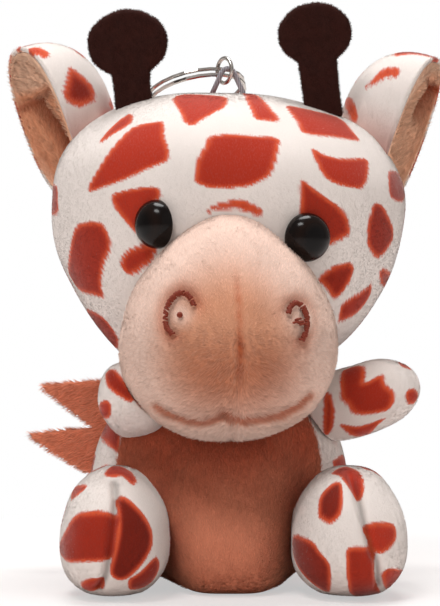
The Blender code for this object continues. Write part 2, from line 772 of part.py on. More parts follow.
def make_limbs(materials):
    beside_leg = {"body": body_form(FLEX_GAP)}
    beside_arm = {"body": body_form(FLEX_GAP), "head": head_form(FLEX_GAP), "muzzle": muzzle_form(FLEX_GAP)}
    for side in SIDES:
        make_limb(
            f"arm_{side}",
            partial(arm_form, side),
            ARM_SHOULDER[side],
            ARM_AXIS[side],
            ARM_LIMITS[side],
            beside_arm,
            materials,
        )
        make_limb(
            f"leg_{side}",
            partial(leg_form, side),
            leg_hip(side),
            (1, 0, 0),
            LEG_LIMITS,
            beside_leg,
            materials,
        )


def make_manes(materials):
    """Plush strips with pointed flaps, sewn into the seams by their straight edge."""
    outline = [(0.0, 0.0)]
    for number, flap in enumerate(MANE_FLAPS):
        outline.append((flap, -number * MANE_PITCH - MANE_DROP))
        outline.append((MANE_NOTCH, -(number + 1) * MANE_PITCH))
    outline.append((0.0, -len(MANE_FLAPS) * MANE_PITCH))
    lie_right = Matrix.Rotation(math.pi - MANE_TURN, 4, "Z") @ Matrix.Rotation(math.pi / 2, 4, "X")
    root = Matrix.Translation((-MANE_ROOT_SIDE, MANE_BACK, MANE_ROOT_TOP))
    strip = flat_shape("mane_body", [outline], MANE_THICKNESS, materials["mane"], root @ lie_right)
    boolean(strip, form_object("body_beside_mane", body_form(SEAM_GAP), cutter=True))
    swings = swing_cutters("head_beside_mane", head_form(SEAM_GAP), nod_pivot(), (1, 0, 0), NOD_LIMITS)
    for swing in swings:
        boolean(strip, swing)

    heights = [
        HEAD_CENTRE_HEIGHT + HEAD_MANE_ABOVE - (HEAD_MANE_ABOVE + HEAD_MANE_BELOW) * n / (HEAD_MANE_FLAPS * 2)
        for n in range(HEAD_MANE_FLAPS * 2 + 1)
    ]
    outside = []
    inside = []
    for number, height in enumerate(heights):
        point, normal = form_seat(head_form(), (0, 0, height), (0, 1, 0))
        reach = HEAD_MANE_FLAP if number % 2 else HEAD_MANE_NOTCH
        outside.append((point + normal * reach).yz)
        inside.append((point - normal * HEAD_MANE_ROOT).yz)
    outline = [tuple(place) for place in outside + inside[::-1]]
    upright = Matrix.Rotation(math.pi / 2, 4, "Z") @ Matrix.Rotation(math.pi / 2, 4, "X")
    strip = flat_shape("mane_head", [outline], MANE_THICKNESS, materials["mane"], upright)
    boolean(strip, form_object("head_behind_mane", head_form(SEAM_GAP), cutter=True))


def tail_root():
    near = (BODY_SIDE_SHIFT, 0, TAIL_HEIGHT)
    point, normal = form_seat(body_form(), near, (0, 1, 0))
    return point + normal * (TAIL_STEM_RADIUS + SEAM_GAP)


def make_tail(materials):
    """A round stem whose root is a half ball against the body, with a tuft at its end."""
    half_tuft = TAIL_TUFT_LENGTH / 2
    tuft_end = math.pi / 2 - math.pi * TAIL_TUFT_SHARE
    tuft = [
        (x, TAIL_STEM_LENGTH + half_tuft + y * half_tuft / TAIL_TUFT_RADIUS)
        for x, y in arc((0, 0), TAIL_TUFT_RADIUS, math.pi / 2, tuft_end, ARC_STEPS // 4)
    ]
    root = arc((0, 0), TAIL_STEM_RADIUS, 0, -math.pi / 2, ARC_STEPS // 6)
    profile = [(0.0, tuft[0][1]), *tuft[1:], *root[:-1], (0.0, root[-1][1])]
    along = Vector((0, math.cos(TAIL_SLOPE), -math.sin(TAIL_SLOPE)))
    matrix = Matrix.Translation(tail_root()) @ along.to_track_quat("Z", "Y").to_matrix().to_4x4()
    turned("tail", profile, matrix, materials["mane"])


def loop_base():
    return form_seat(head_form(), (LOOP_SIDE, LOOP_BACK, HEAD_CENTRE_HEIGHT), Z_AXIS)[0]


def loop_top():
    """Middle of the cord where the jump ring hangs."""
    return loop_base() + Z_AXIS * LOOP_HEIGHT


def jump_frame():
    """Ring centre, ring normal, and the way from the cord to the centre."""
    normal = Vector((math.cos(JUMP_TURN), math.sin(JUMP_TURN), 0))
    level = Vector((-math.sin(JUMP_TURN), math.cos(JUMP_TURN), 0))
    way = level * math.cos(JUMP_DIP) - Z_AXIS * math.sin(JUMP_DIP)
    reach = JUMP_RING_RADIUS - JUMP_WIRE_RADIUS - SEAM_GAP - LOOP_CORD_RADIUS
    return loop_top() + way * reach, normal, way


def split_frame():
    """Where the split ring passes through the jump ring, its tangent there, and the way to its centre."""
    centre, normal, way = jump_frame()
    level = Vector((-math.sin(JUMP_TURN), math.cos(JUMP_TURN), 0))
    inward = level * math.cos(SPLIT_DIP) - Z_AXIS * math.sin(SPLIT_DIP)
    return centre + way * SPLIT_OFFSET, normal, inward


def make_hanger(materials):
    base = loop_base()
    fold = [
        Vector((x, 0, z))
        for x, z in arc((0, LOOP_HEIGHT - LOOP_FOLD_RADIUS), LOOP_FOLD_RADIUS, *LOOP_FOLD_ARC, ARC_STEPS // 3)
    ]
    cord = []
    for foot, points in ((-LOOP_HALF_WIDTH, fold), (LOOP_HALF_WIDTH, [])):
        seat, normal = form_seat(head_form(), base + Vector((foot, 0, -LOOP_HEIGHT)), Z_AXIS)
        start = seat - base + Z_AXIS * (LOOP_CORD_RADIUS + SEAM_GAP)
        cord += [start, *points]
    line = [base + place for place in cord]
    wire("hang_loop", line, LOOP_CORD_RADIUS, materials["cord"])

    centre, normal, way = jump_frame()
    across = normal.cross(way)
    ring = [
        centre + way * (JUMP_RING_RADIUS * math.cos(angle)) + across * (JUMP_RING_RADIUS * math.sin(angle))
        for angle in (math.tau * n / 20 for n in range(20))
    ]
    wire("jump_ring", ring, JUMP_WIRE_RADIUS, materials["steel"], closed=True)

    point, tangent, inward = split_frame()
    stack = tangent.cross(inward)
    middle = point + inward * SPLIT_RING_RADIUS
    pitch = SPLIT_WIRE_RADIUS * 2 + SPLIT_WIRE_GAP
    count = SPLIT_TURNS * SPLIT_TURN_STEPS
    coil = []
    for n in range(count + 1):
        angle = math.tau * n / SPLIT_TURN_STEPS
        height = pitch * (n / SPLIT_TURN_STEPS - SPLIT_TURNS / 2)
        spoke = inward * math.cos(angle) + tangent * math.sin(angle)
        coil.append(middle + spoke * SPLIT_RING_RADIUS + stack * height)
    wire("split_ring", coil, SPLIT_WIRE_RADIUS, materials["steel"])
    turn_gap = min((a - b).length for a, b in zip(coil, coil[SPLIT_TURN_STEPS:])) - SPLIT_WIRE_RADIUS * 2
    print(f"least gap between the turns of the split ring: {turn_gap / MM:.2f} mm")


def pivot(name, place):
    """An empty on a joint's axis, which carries the pieces that move about it."""
    point = bpy.data.objects.new(f"{name}_pivot", None)
    point.location = place
    PARTS.objects.link(point)
    return point


def carry(carrier, items):
    bpy.context.view_layer.update()
    for item in items:
        if isinstance(item, str):
            item = bpy.data.objects[item]
        item.parent = carrier
        item.matrix_parent_inverse = carrier.matrix_world.inverted()


def hang_on_pivots():
    head = pivot("head", nod_pivot())
    carry(head, ["head_cover", "head_stuffing", "mouth_stitching", "mane_head", "hang_loop"])
    for side in SIDES:
        carry(head, [f"{kind}_{side}" for kind in ("muzzle_panel", "eye", "eye_washer", "nostril")])
        bottom, top = ear_seam(side)
        ear = pivot(f"ear_{side}", (bottom + top) / 2)
        carry(ear, [f"ear_{side}_back", f"ear_{side}_lining"])
        horn = pivot(f"horn_{side}", horn_seat(side))
        carry(horn, [f"horn_{side}"])
        carry(head, [ear, horn])
        for limb, place in (("arm", ARM_SHOULDER[side]), ("leg", leg_hip(side))):
            carry(pivot(f"{limb}_{side}", place), [f"{limb}_{side}_cover", f"{limb}_{side}_stuffing"])
    carry(pivot("tail", tail_root()), ["tail"])
    jump = pivot("jump_ring", loop_top())
    split = pivot("split_ring", split_frame()[0])
    carry(split, ["split_ring"])
    carry(jump, ["jump_ring", split])
    carry(head, [jump])


clear_scene()
PARTS = make_collection("plush_giraffe")
CUTTERS = make_collection("cutters")


def main():
    materials = make_materials()
    make_torso(materials)
    make_head(materials)
    make_eyes(materials)
    make_embroidery(materials)
    make_horns(materials)
    make_ears(materials)
    make_limbs(materials)
    make_manes(materials)
    make_tail(materials)
    make_hanger(materials)
    hang_on_pivots()


main()
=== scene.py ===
import math

import bmesh
import bpy
import numpy as np
from mathutils import Matrix, Vector, noise


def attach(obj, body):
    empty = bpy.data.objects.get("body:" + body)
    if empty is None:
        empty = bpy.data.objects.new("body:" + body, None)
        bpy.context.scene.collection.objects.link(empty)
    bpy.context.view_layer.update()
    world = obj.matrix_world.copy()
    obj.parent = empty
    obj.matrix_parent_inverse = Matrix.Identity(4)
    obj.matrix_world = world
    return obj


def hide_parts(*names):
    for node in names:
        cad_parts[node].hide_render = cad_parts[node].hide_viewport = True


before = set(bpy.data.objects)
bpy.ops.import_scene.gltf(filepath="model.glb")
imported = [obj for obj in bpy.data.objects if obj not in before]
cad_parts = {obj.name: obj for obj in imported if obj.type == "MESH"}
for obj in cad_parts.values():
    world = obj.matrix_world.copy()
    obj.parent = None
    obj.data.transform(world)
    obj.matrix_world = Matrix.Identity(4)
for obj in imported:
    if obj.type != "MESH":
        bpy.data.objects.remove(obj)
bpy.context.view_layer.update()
mm = 0.001
sides = {"left": 1, "right": -1}
noise.seed_set(7)  # without it the vector noise starts from the clock


# small helpers: colours, turns, meshes

def linear(colour):
    parts = [c / 255 for c in colour]
    return tuple(c / 12.92 if c <= 0.04045 else ((c + 0.055) / 1.055) ** 2.4 for c in parts)


def turnAbout(axis, degrees):
    return np.array(Matrix.Rotation(math.radians(degrees), 3, axis))


def standAlong(way):
    # a turn that takes Z to a direction, the same as the solids use
    return np.array(Vector(way).to_track_quat("Z", "Y").to_matrix())


def unit(vectors):
    return vectors / np.maximum(np.linalg.norm(vectors, axis=-1, keepdims=True), 1e-12)


def smoothStep(low, high, value):
    t = np.clip((value - low) / (high - low), 0, 1)
    return t * t * (3 - 2 * t)


def softNoise(points, size, seed=0.0):
    return np.array([noise.noise(Vector(p)) for p in points / size + seed])


def pushNoise(points, size, seed=0.0):
    return np.array([noise.noise_vector(Vector(p)) for p in points / size + seed])


def addPiece(name, mesh, body, material):
    piece = bpy.data.objects.new(name, mesh)
    bpy.context.scene.collection.objects.link(piece)
    mesh.materials.append(material)
    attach(piece, body)
    return piece


def meshFrom(name, points, faces):
    mesh = bpy.data.meshes.new(name)
    mesh.from_pydata([tuple(p) for p in points * mm], [], faces)
    mesh.shade_smooth()
    return mesh


def readPoints(mesh, kind="co"):
    found = np.empty(len(mesh.vertices) * 3, np.float32)
    mesh.vertices.foreach_get(kind, found)
    found = found.reshape(-1, 3).astype(float)
    return found / mm if kind == "co" else found


def movePoints(mesh, points):
    mesh.vertices.foreach_set("co", (points * mm).astype(np.float32).ravel())


def setShares(mesh, **shares):
    # one number for each point, which the materials read by name
    for name, values in shares.items():
        layer = mesh.attributes.new(name, "FLOAT", "POINT")
        layer.data.foreach_set("value", np.ascontiguousarray(values, dtype=np.float32))


# soft forms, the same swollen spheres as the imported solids

def formOf(place, width, front, back, rise, drop, fullness, narrow=0.0, slope=0.0, tuck=0.0, turn=None):
    return {
        "place": np.array(place, float), "width": width, "front": front, "back": back, "rise": rise,
        "drop": drop,
        "fullness": fullness, "narrow": narrow, "slope": slope, "tuck": tuck,
        "turn": np.eye(3) if turn is None else turn,
    }


def drawnIn(form, z):
    # how far the width and the front draw in at a height
    above, below = np.clip(z, 0, 1), np.clip(-z, 0, 1)
    return 1 - form["narrow"] * above**2 - form["tuck"] * below**2, 1 - form["slope"] * above


def grown(form, by):
    return {**form, **{side: form[side] + by for side in ("width", "front", "back", "rise", "drop")}}


def nodded(form, pivot, degrees):
    turn = turnAbout("X", degrees)
    return {**form, "place": turn @ (form["place"] - pivot) + pivot, "turn": turn @ form["turn"]}


def formPoints(form, ways):
    n = form["fullness"]
    x, y, z = (ways * ((np.abs(ways) ** n).sum(1) ** (-1 / n))[:, None]).T
    narrowed, sloped = drawnIn(form, z)
    local = np.stack([
        x * form["width"] * narrowed,
        y * np.where(y < 0, form["front"] * sloped, form["back"]),
        z * np.where(z > 0, form["rise"], form["drop"]),
    ], 1)
    return local @ form["turn"].T + form["place"]


def inForm(form, points):
    return (points - form["place"]) @ form["turn"]


def formWays(form, points):
    # where points lie in the form, with its surface at 1
    x, y, z = inForm(form, points).T
    z = z / np.where(z > 0, form["rise"], form["drop"])
    narrowed, sloped = drawnIn(form, z)
    y = y / np.where(y < 0, form["front"] * sloped, form["back"])
    return np.stack([x / (form["width"] * narrowed), y, z], 1)


def levelOf(form, points):
    return (np.abs(formWays(form, points)) ** form["fullness"]).sum(1)


def clearOf(forms, points):
    return np.all([levelOf(form, points) > 1 for form in forms], axis=0)


def pressedOut(points, form, toward):
    # points inside the form move towards a place outside it until they lie on its surface
    toward = np.asarray(toward, float)
    inside = levelOf(form, points) < 1
    near, far = np.zeros(len(points)), np.ones(len(points))
    for _ in range(24):
        half = (near + far) / 2
        still = levelOf(form, points + (toward - points) * half[:, None]) < 1
        near, far = np.where(still, half, near), np.where(still, far, half)
    return np.where(inside[:, None], points + (toward - points) * far[:, None], points)


def seatOn(form, near, way, reach=70.0):
    # points and outward normals where lines that start inside the form leave it
    near, way = np.atleast_2d(near).astype(float), unit(np.atleast_2d(way).astype(float))
    low, high = np.zeros(len(near)), np.full(len(near), reach)
    for _ in range(36):
        half = (low + high) / 2
        inside = levelOf(form, near + way * half[:, None]) < 1
        low, high = np.where(inside, half, low), np.where(inside, high, half)
    points = near + way * high[:, None]
    step = 0.02
    slope = np.stack([
        levelOf(form, points + axis * step) - levelOf(form, points - axis * step) for axis in np.eye(3)
    ], 1)
    return points, unit(slope)


def evenSphere(cuts):
    ball = bmesh.new()
    bmesh.ops.create_cube(ball, size=2)
    bmesh.ops.subdivide_edges(ball, edges=ball.edges, cuts=cuts, use_grid_fill=True)
    ways = np.array([v.co for v in ball.verts])
    faces = [[v.index for v in f.verts] for f in ball.faces]
    ball.free()
    return unit(np.tan(ways * math.pi / 4)), faces


# the printed coat: spots as outlines on a map of the form's front, where its silhouette is at radius 1

def frontMap(form, points):
    ways = unit(formWays(form, points)) @ form["turn"].T
    angle = np.arccos(np.clip(-ways[:, 1], -1, 1)) / (math.pi / 2)
    around = np.arctan2(ways[:, 2], ways[:, 0])
    return np.stack([angle * np.cos(around), angle * np.sin(around)], 1)


def rounded(outline, steps=4):
    a = np.array(outline, float)
    before, after, later = np.roll(a, 1, 0), np.roll(a, -1, 0), np.roll(a, -2, 0)
    line = [
        (2 * a + (after - before) * t + (2 * before - 5 * a + 4 * after - later) * t**2
         + (3 * a - before - 3 * after + later) * t**3) / 2
        for t in np.arange(steps) / steps
    ]
    return np.stack(line, 1).reshape(-1, 2)


def depthIn(at, outline, margin):
    # how far inside an outline each place is, below zero outside it
    depth = np.full(len(at), -margin)
    near = ((at > outline.min(0) - margin) & (at < outline.max(0) + margin)).all(1)
    spots = at[near]
    least = np.full(len(spots), margin**2)
    inside = np.zeros(len(spots), bool)
    for a, b in zip(outline, np.roll(outline, -1, 0)):
        edge = b - a
        share = np.clip((spots - a) @ edge / max(edge @ edge, 1e-9), 0, 1)
        least = np.minimum(least, ((spots - a - share[:, None] * edge) ** 2).sum(1))
        crosses = (a[1] > spots[:, 1]) != (b[1] > spots[:, 1])
        rise = edge[1] if abs(edge[1]) > 1e-9 else 1e-9
        inside ^= crosses & (spots[:, 0] < edge[0] * (spots[:, 1] - a[1]) / rise + a[0])
    depth[near] = np.where(inside, 1, -1) * np.sqrt(least)
    return depth


def rearCentres(form, coat, count=400):
    # even, seeded places for the spots that the front doesn't show
    rng = np.random.default_rng(coat["seed"])
    ways = unit(rng.normal(size=(count, 3)))
    places = formPoints(form, ways)
    clear = np.linalg.norm(frontMap(form, places), axis=1) > coat["rearFrom"]
    kept = []
    for place in places[clear]:
        if all(np.linalg.norm(place - other) > coat["spacing"] for other in kept):
            kept.append(place)
    return np.array(kept)


def printDepth(form, points, coat):
    # millimetres inside a printed spot, below zero on the white ground, and how much darker each spot is
    # painted: the listed spots take painted shade for nap seen end-on and for spots low in shade, the
    # hidden ones a varied amount
    at = frontMap(form, points)
    scale = coat["mapSize"]
    depth = np.full(len(points), -8.0)
    deep = np.zeros(len(points))
    for number, outline in enumerate(coat["spots"]):
        inside = depthIn(at, rounded(outline), 8.0 / scale) * scale
        deep = np.where(inside > depth, coat["deep"].get(number, 0.15), deep)
        depth = np.maximum(depth, inside)
    centres = rearCentres(form, coat)
    bent = points + pushNoise(points, coat["spacing"] * 0.45, 3.7) * 1.3
    apart = np.linalg.norm(bent[:, None] - centres[None], axis=2)
    owner = apart.argmin(1)
    apart = np.sort(apart, axis=1)[:, :2]
    cell = (apart[:, 1] - apart[:, 0]) / 2 - coat["gap"] / 2
    cell = np.minimum(cell, coat["spacing"] * 0.52 - apart[:, 0])
    cell = np.minimum(cell, -depth - coat["gap"])
    cell = np.minimum(cell, (np.linalg.norm(at, axis=1) - coat["rearFrom"] + 0.08) * scale)
    return np.maximum(depth, cell), np.where(cell > depth, owner * 0.37 % 0.6, deep)


def printShares(depth, deep, sharp=0.12):
    # the masks of a printed spot: its ink, its thin orange rim and its darker nap, which is painted shade
    inked = smoothStep(-sharp, sharp, depth)
    return {
        "print": inked, "rim": inked * np.exp(-(((depth - 0.3) / 0.38) ** 2)) * 0.85,
        "deep": inked * deep * smoothStep(0.2, 1.4, depth)
    }


def printOn(form, coat):
    # the masks of a printed skin, and of its pile, where each strand strays a little over a spot's edge
    def shares(points, stray=None):
        moved = points if stray is None else points + stray[:, None]
        return printShares(*printDepth(form, moved, coat))
    return shares


# materials

def nodeSetter(tree):
    def add(kind, at, inputs=None, **settings):
        node = tree.nodes.new(kind)
        node.location = at
        for key, value in settings.items():
            setattr(node, key, value)
        for key, value in (inputs or {}).items():
            if isinstance(value, bpy.types.NodeSocket):
                tree.links.new(value, node.inputs[key])
            else:
                node.inputs[key].default_value = value
        return node
    return add


def newGroup(name, inputs, outputs):
    tree = bpy.data.node_groups.new(name, "ShaderNodeTree")
    for label, kind, value in inputs:
        socket = tree.interface.new_socket(label, in_out="INPUT", socket_type=kind)
        socket.default_value = value
    for label, kind in outputs:
        tree.interface.new_socket(label, in_out="OUTPUT", socket_type=kind)
    add = nodeSetter(tree)
    return tree, add, add("NodeGroupInput", (-900, 0)).outputs


def makePlushTone():
    # the colour of pile: ground and print, patchy, with painted shade darker at its roots, painted light
    # paler at its tips, and painted shade where the Deep mask is set
    number, colour = "NodeSocketFloat", "NodeSocketColor"
    tree, add, given = newGroup("plushTone", [
        ("Ground", colour, (0.8, 0.8, 0.8, 1)), ("Print", colour, (0.4, 0.05, 0.02, 1)),
        ("Rim", colour, (0.6, 0.1, 0.03, 1)), ("Pale", colour, (1, 1, 1, 1)),
        ("Print Mask", number, 0.0), ("Rim Mask", number, 0.0), ("Shade", number, 0.5),
        ("Tip", number, 0.0),
        ("Deep", number, 0.0), ("Painted Shade Value", number, 0.36),
        ("Painted Root Shade", number, 0.8), ("Painted Tip Light", number, 0.1), ("Strand Contrast", number, 0.1),
        ("Patch Size", number, 6.0), ("Patch Contrast", number, 0.1),
    ], [("Colour", colour), ("Roughness", number)])
    place = add("ShaderNodeTexCoord", (-900, -420)).outputs["Object"]
    scale = add(
        "ShaderNodeMath", (-900, -640), {0: 1 / mm, 1: given["Patch Size"]}, operation="DIVIDE"
    ).outputs[0]
    patch = add(
        "ShaderNodeTexNoise", (-700, -420), {"Vector": place, "Scale": scale, "Detail": 3.0}
    ).outputs["Fac"]
    printed = add("ShaderNodeMix", (-640, 200), {
        0: given["Print Mask"], 6: given["Ground"], 7: given["Print"],
    }, data_type="RGBA").outputs[2]
    rimmed = add(
        "ShaderNodeMix", (-460, 200), {0: given["Rim Mask"], 6: printed, 7: given["Rim"]}, data_type="RGBA"
    ).outputs[2]
    # painted light: the tips are mixed towards the pale colour
    tipLightShare = add(
        "ShaderNodeMath", (-460, 0), {0: given["Tip"], 1: given["Painted Tip Light"]}, operation="MULTIPLY"
    ).outputs[0]
    tipLit = add(
        "ShaderNodeMix", (-280, 200), {0: tipLightShare, 6: rimmed, 7: given["Pale"]}, data_type="RGBA"
    ).outputs[2]
    centred = add("ShaderNodeMath", (-500, -300), {0: patch, 1: 0.5}, operation="SUBTRACT").outputs[0]
    patched = add(
        "ShaderNodeMath", (-340, -300), {0: centred, 1: given["Patch Contrast"], 2: 1.0},
        operation="MULTIPLY_ADD"
    ).outputs[0]
    strand = add(
        "ShaderNodeMath", (-500, -480), {0: given["Shade"], 1: 0.5}, operation="SUBTRACT"
    ).outputs[0]
    varied = add(
        "ShaderNodeMath", (-340, -480), {0: strand, 1: given["Strand Contrast"], 2: patched},
        operation="MULTIPLY_ADD"
    ).outputs[0]
    # painted shade: the roots are darker
    rootShadeFactor = add(
        "ShaderNodeMapRange", (-340, -120), {0: given["Tip"], 3: given["Painted Root Shade"], 4: 1.0}
    ).outputs[0]
    standing = add("ShaderNodeMath", (-160, -300), {0: varied, 1: rootShadeFactor}, operation="MULTIPLY").outputs[0]
    # painted shade: the Deep mask darkens the colour
    paintedShadeFactor = add(
        "ShaderNodeMapRange", (-340, -660), {0: given["Deep"], 3: 1.0, 4: given["Painted Shade Value"]}
    ).outputs[0]
    value = add("ShaderNodeMath", (0, -300), {0: standing, 1: paintedShadeFactor}, operation="MULTIPLY").outputs[0]
    toned = add("ShaderNodeHueSaturation", (-40, 200), {"Value": value, "Color": tipLit}).outputs["Color"]
    rough = add("ShaderNodeMapRange", (-40, -120), {0: patch, 3: 0.78, 4: 1.0}).outputs[0]
    add("NodeGroupOutput", (200, 0), {"Colour": toned, "Roughness": rough})
    return tree


def makeFineRelief():
    # height of a knitted backing or felted surface: fine grain over soft lumps
    number = "NodeSocketFloat"
    tree, add, given = newGroup("fineRelief", [
        ("Grain Size", number, 0.4), ("Lump Size", number, 2.5), ("Lump Share", number, 0.4),
    ], [("Height", number)])
    place = add("ShaderNodeTexCoord", (-900, -300)).outputs["Object"]
    fine = add(
        "ShaderNodeMath", (-720, 200), {0: 1 / mm, 1: given["Grain Size"]}, operation="DIVIDE"
    ).outputs[0]
    coarse = add(
        "ShaderNodeMath", (-720, -120), {0: 1 / mm, 1: given["Lump Size"]}, operation="DIVIDE"
    ).outputs[0]
    grain = add(
        "ShaderNodeTexNoise", (-540, 200), {"Vector": place, "Scale": fine, "Detail": 4.0}
    ).outputs["Fac"]
    lump = add(
        "ShaderNodeTexNoise", (-540, -120), {"Vector": place, "Scale": coarse, "Detail": 2.0}
    ).outputs["Fac"]
    both = add(
        "ShaderNodeMix", (-300, 0), {0: given["Lump Share"], 2: grain, 3: lump}, data_type="FLOAT"
    ).outputs[0]
    add("NodeGroupOutput", (-100, 0), {"Height": both})
    return tree


plushTone = makePlushTone()
fineRelief = makeFineRelief()


def plainShader(name, roughness=0.9):
    material = bpy.data.materials.new(name)
    material.use_nodes = True
    shader = material.node_tree.nodes["Principled BSDF"]
    shader.inputs["Roughness"].default_value = roughness
    return material, shader, nodeSetter(material.node_tree)


def twoToneMaterial(name, look, texture="ShaderNodeTexNoise", **extra):
    # two colours mixed by a fine texture, which also gives the surface its relief
    material, shader, add = plainShader(name, look["roughness"])
    place = add("ShaderNodeTexCoord", (-900, 0)).outputs["Object"]
    inputs = {"Vector": place, "Scale": look["scale"], "Detail": look["detail"], **extra}
    pattern = add(texture, (-700, 0), inputs).outputs["Fac"]
    colour = add("ShaderNodeMix", (-400, 0), {
        0: pattern, 6: (*linear(look["dark"]), 1), 7: (*linear(look["colour"]), 1),
    }, data_type="RGBA").outputs[2]
    material.node_tree.links.new(colour, shader.inputs["Base Color"])
    if "relief" in look:
        bump = add("ShaderNodeBump", (-400, -260), {"Height": pattern, "Distance": look["relief"] * mm})
        material.node_tree.links.new(bump.outputs["Normal"], shader.inputs["Normal"])
    return material, shader, add, pattern


def plushMaterial(name, look):
    material, shader, add = plainShader(name)
    masks = {
        label: add("ShaderNodeAttribute", (-620, 200 - 160 * n), attribute_name=key).outputs["Fac"]
        for n, (label, key) in enumerate((
            ("Print Mask", "print"), ("Rim Mask", "rim"), ("Deep", "deep"), ("Shade", "shade"),
            ("Tip", "tip"),
        ))
    }
    tone = add("ShaderNodeGroup", (-360, 200), node_tree=plushTone)
    for label, socket in masks.items():
        material.node_tree.links.new(socket, tone.inputs[label])
    for label, value in {
        "Ground": (*linear(look["ground"]), 1), "Print": (*linear(look["print"]), 1),
        "Rim": (*linear(look["rim"]), 1), "Pale": (*linear(look["pale"]), 1),
        "Painted Root Shade": look["paintedRootShade"], "Painted Tip Light": look["paintedTipLight"],
        "Strand Contrast": look["strandContrast"],
        "Patch Size": look["patchSize"], "Patch Contrast": look["patchContrast"],
    }.items():
        tone.inputs[label].default_value = value
    relief = add("ShaderNodeGroup", (-360, -260), node_tree=fineRelief)
    relief.inputs["Grain Size"].default_value = look["grain"]
    bump = add("ShaderNodeBump", (-180, -260), {
        "Height": relief.outputs["Height"], "Distance": look["bump"] * mm, "Strength": 0.5,
    })
    material.node_tree.links.new(tone.outputs["Colour"], shader.inputs["Base Color"])
    material.node_tree.links.new(tone.outputs["Roughness"], shader.inputs["Roughness"])
    material.node_tree.links.new(bump.outputs["Normal"], shader.inputs["Normal"])
    shader.inputs["Sheen Weight"].default_value = look["sheen"]
    shader.inputs["Sheen Roughness"].default_value = 0.38
    shader.inputs["Sheen Tint"].default_value = (*linear(look["pale"]), 1)
    shader.inputs["Specular IOR Level"].default_value = 0.15
    return material


# each look darkens its pile's roots with painted shade and pales its tips with painted light
coatLook = {
    "ground": (236, 227, 221), "print": (190, 54, 32), "rim": (220, 94, 56), "pale": (250, 242, 237),
    "paintedRootShade": 0.99, "paintedTipLight": 0.04, "strandContrast": 0.04, "patchSize": 7.0, "patchContrast": 0.1,
    "grain": 0.35, "bump": 0.12, "sheen": 0.5,
}
# muzzle: the print colour is painted shade in its creases, round the nostrils and low down; the rim colour
# is painted light on top, round the edge and on the lip
peachLook = {
    "ground": (222, 158, 124), "print": (196, 98, 56), "rim": (248, 216, 200), "pale": (246, 216, 200),
    "paintedRootShade": 0.9, "paintedTipLight": 0.2, "strandContrast": 0.18, "patchSize": 5.0, "patchContrast": 0.14,
    "grain": 0.35, "bump": 0.2, "sheen": 0.5,
}
# belly: the print colour is painted shade under the chin
bellyLook = {
    "ground": (226, 140, 108), "print": (200, 84, 52), "rim": (236, 184, 158), "pale": (238, 182, 154),
    "paintedRootShade": 0.9, "paintedTipLight": 0.14, "strandContrast": 0.16, "patchSize": 5.0, "patchContrast": 0.16,
    "grain": 0.35, "bump": 0.2, "sheen": 0.5,
}
# ear lining: the print colour is painted shade in its groove, fold and lower part; the rim colour is
# painted light on its top lobe and edge
liningLook = {
    "ground": (252, 174, 130), "print": (202, 84, 44), "rim": (255, 222, 196), "pale": (255, 216, 186),
    "paintedRootShade": 0.92, "paintedTipLight": 0.22, "strandContrast": 0.16, "patchSize": 4.0, "patchContrast": 0.16,
    "grain": 0.35, "bump": 0.2, "sheen": 0.5,
}
maneLook = {
    "ground": (248, 144, 108), "print": (200, 84, 52), "rim": (250, 170, 136), "pale": (255, 200, 172),
    "paintedRootShade": 0.86, "paintedTipLight": 0.24, "strandContrast": 0.3, "patchSize": 4.0, "patchContrast": 0.2,
    "grain": 0.35, "bump": 0.2, "sheen": 0.4,
}
feltLook = {
    "ground": (62, 29, 23), "print": (44, 20, 16), "rim": (84, 44, 34), "pale": (104, 62, 50),
    "paintedRootShade": 0.8, "paintedTipLight": 0.15, "strandContrast": 0.35, "patchSize": 2.5, "patchContrast": 0.4,
    "grain": 0.3, "bump": 0.25, "sheen": 0.12,
}
coatPlush = plushMaterial("coatPlush", coatLook)
peachPlush = plushMaterial("peachPlush", peachLook)
bellyPlush = plushMaterial("bellyPlush", bellyLook)
liningPlush = plushMaterial("liningPlush", liningLook)
manePlush = plushMaterial("manePlush", maneLook)
hornFelt = plushMaterial("hornFelt", feltLook)


# pile: closed tapered strands that stand on a skin

mostStrands = 48000  # in one piece of pile


def strandMesh(name, strand, normals, flat):
    # four triangles a strand, each strand in its own small place on the UV sheet
    count = len(strand)
    faces = (
        np.arange(count)[:, None, None] * 4 + np.array([[0, 1, 3], [1, 2, 3], [2, 0, 3], [2, 1, 0]])[None]
    ).reshape(-1, 3)
    coat = bpy.data.meshes.new(name)
    coat.vertices.add(count * 4)
    movePoints(coat, strand)
    coat.loops.add(len(faces) * 3)
    coat.loops.foreach_set("vertex_index", faces.astype(np.int32).ravel())
    coat.polygons.add(len(faces))
    coat.polygons.foreach_set("loop_start", np.arange(len(faces), dtype=np.int32) * 3)
    coat.update(calc_edges=True)
    coat.shade_smooth()
    coat.normals_split_custom_set_from_vertices(normals.reshape(-1, 3))
    spread = np.array([[0, 0], [1, 0], [0, 1], [1, 1]]) * 0.0012
    layer = coat.uv_layers.new(name="OFBake")
    layer.uv.foreach_set(
        "vector", (flat[:, None] + spread[None]).reshape(-1, 2)[faces.ravel()].astype(np.float32).ravel()
    )
    return coat


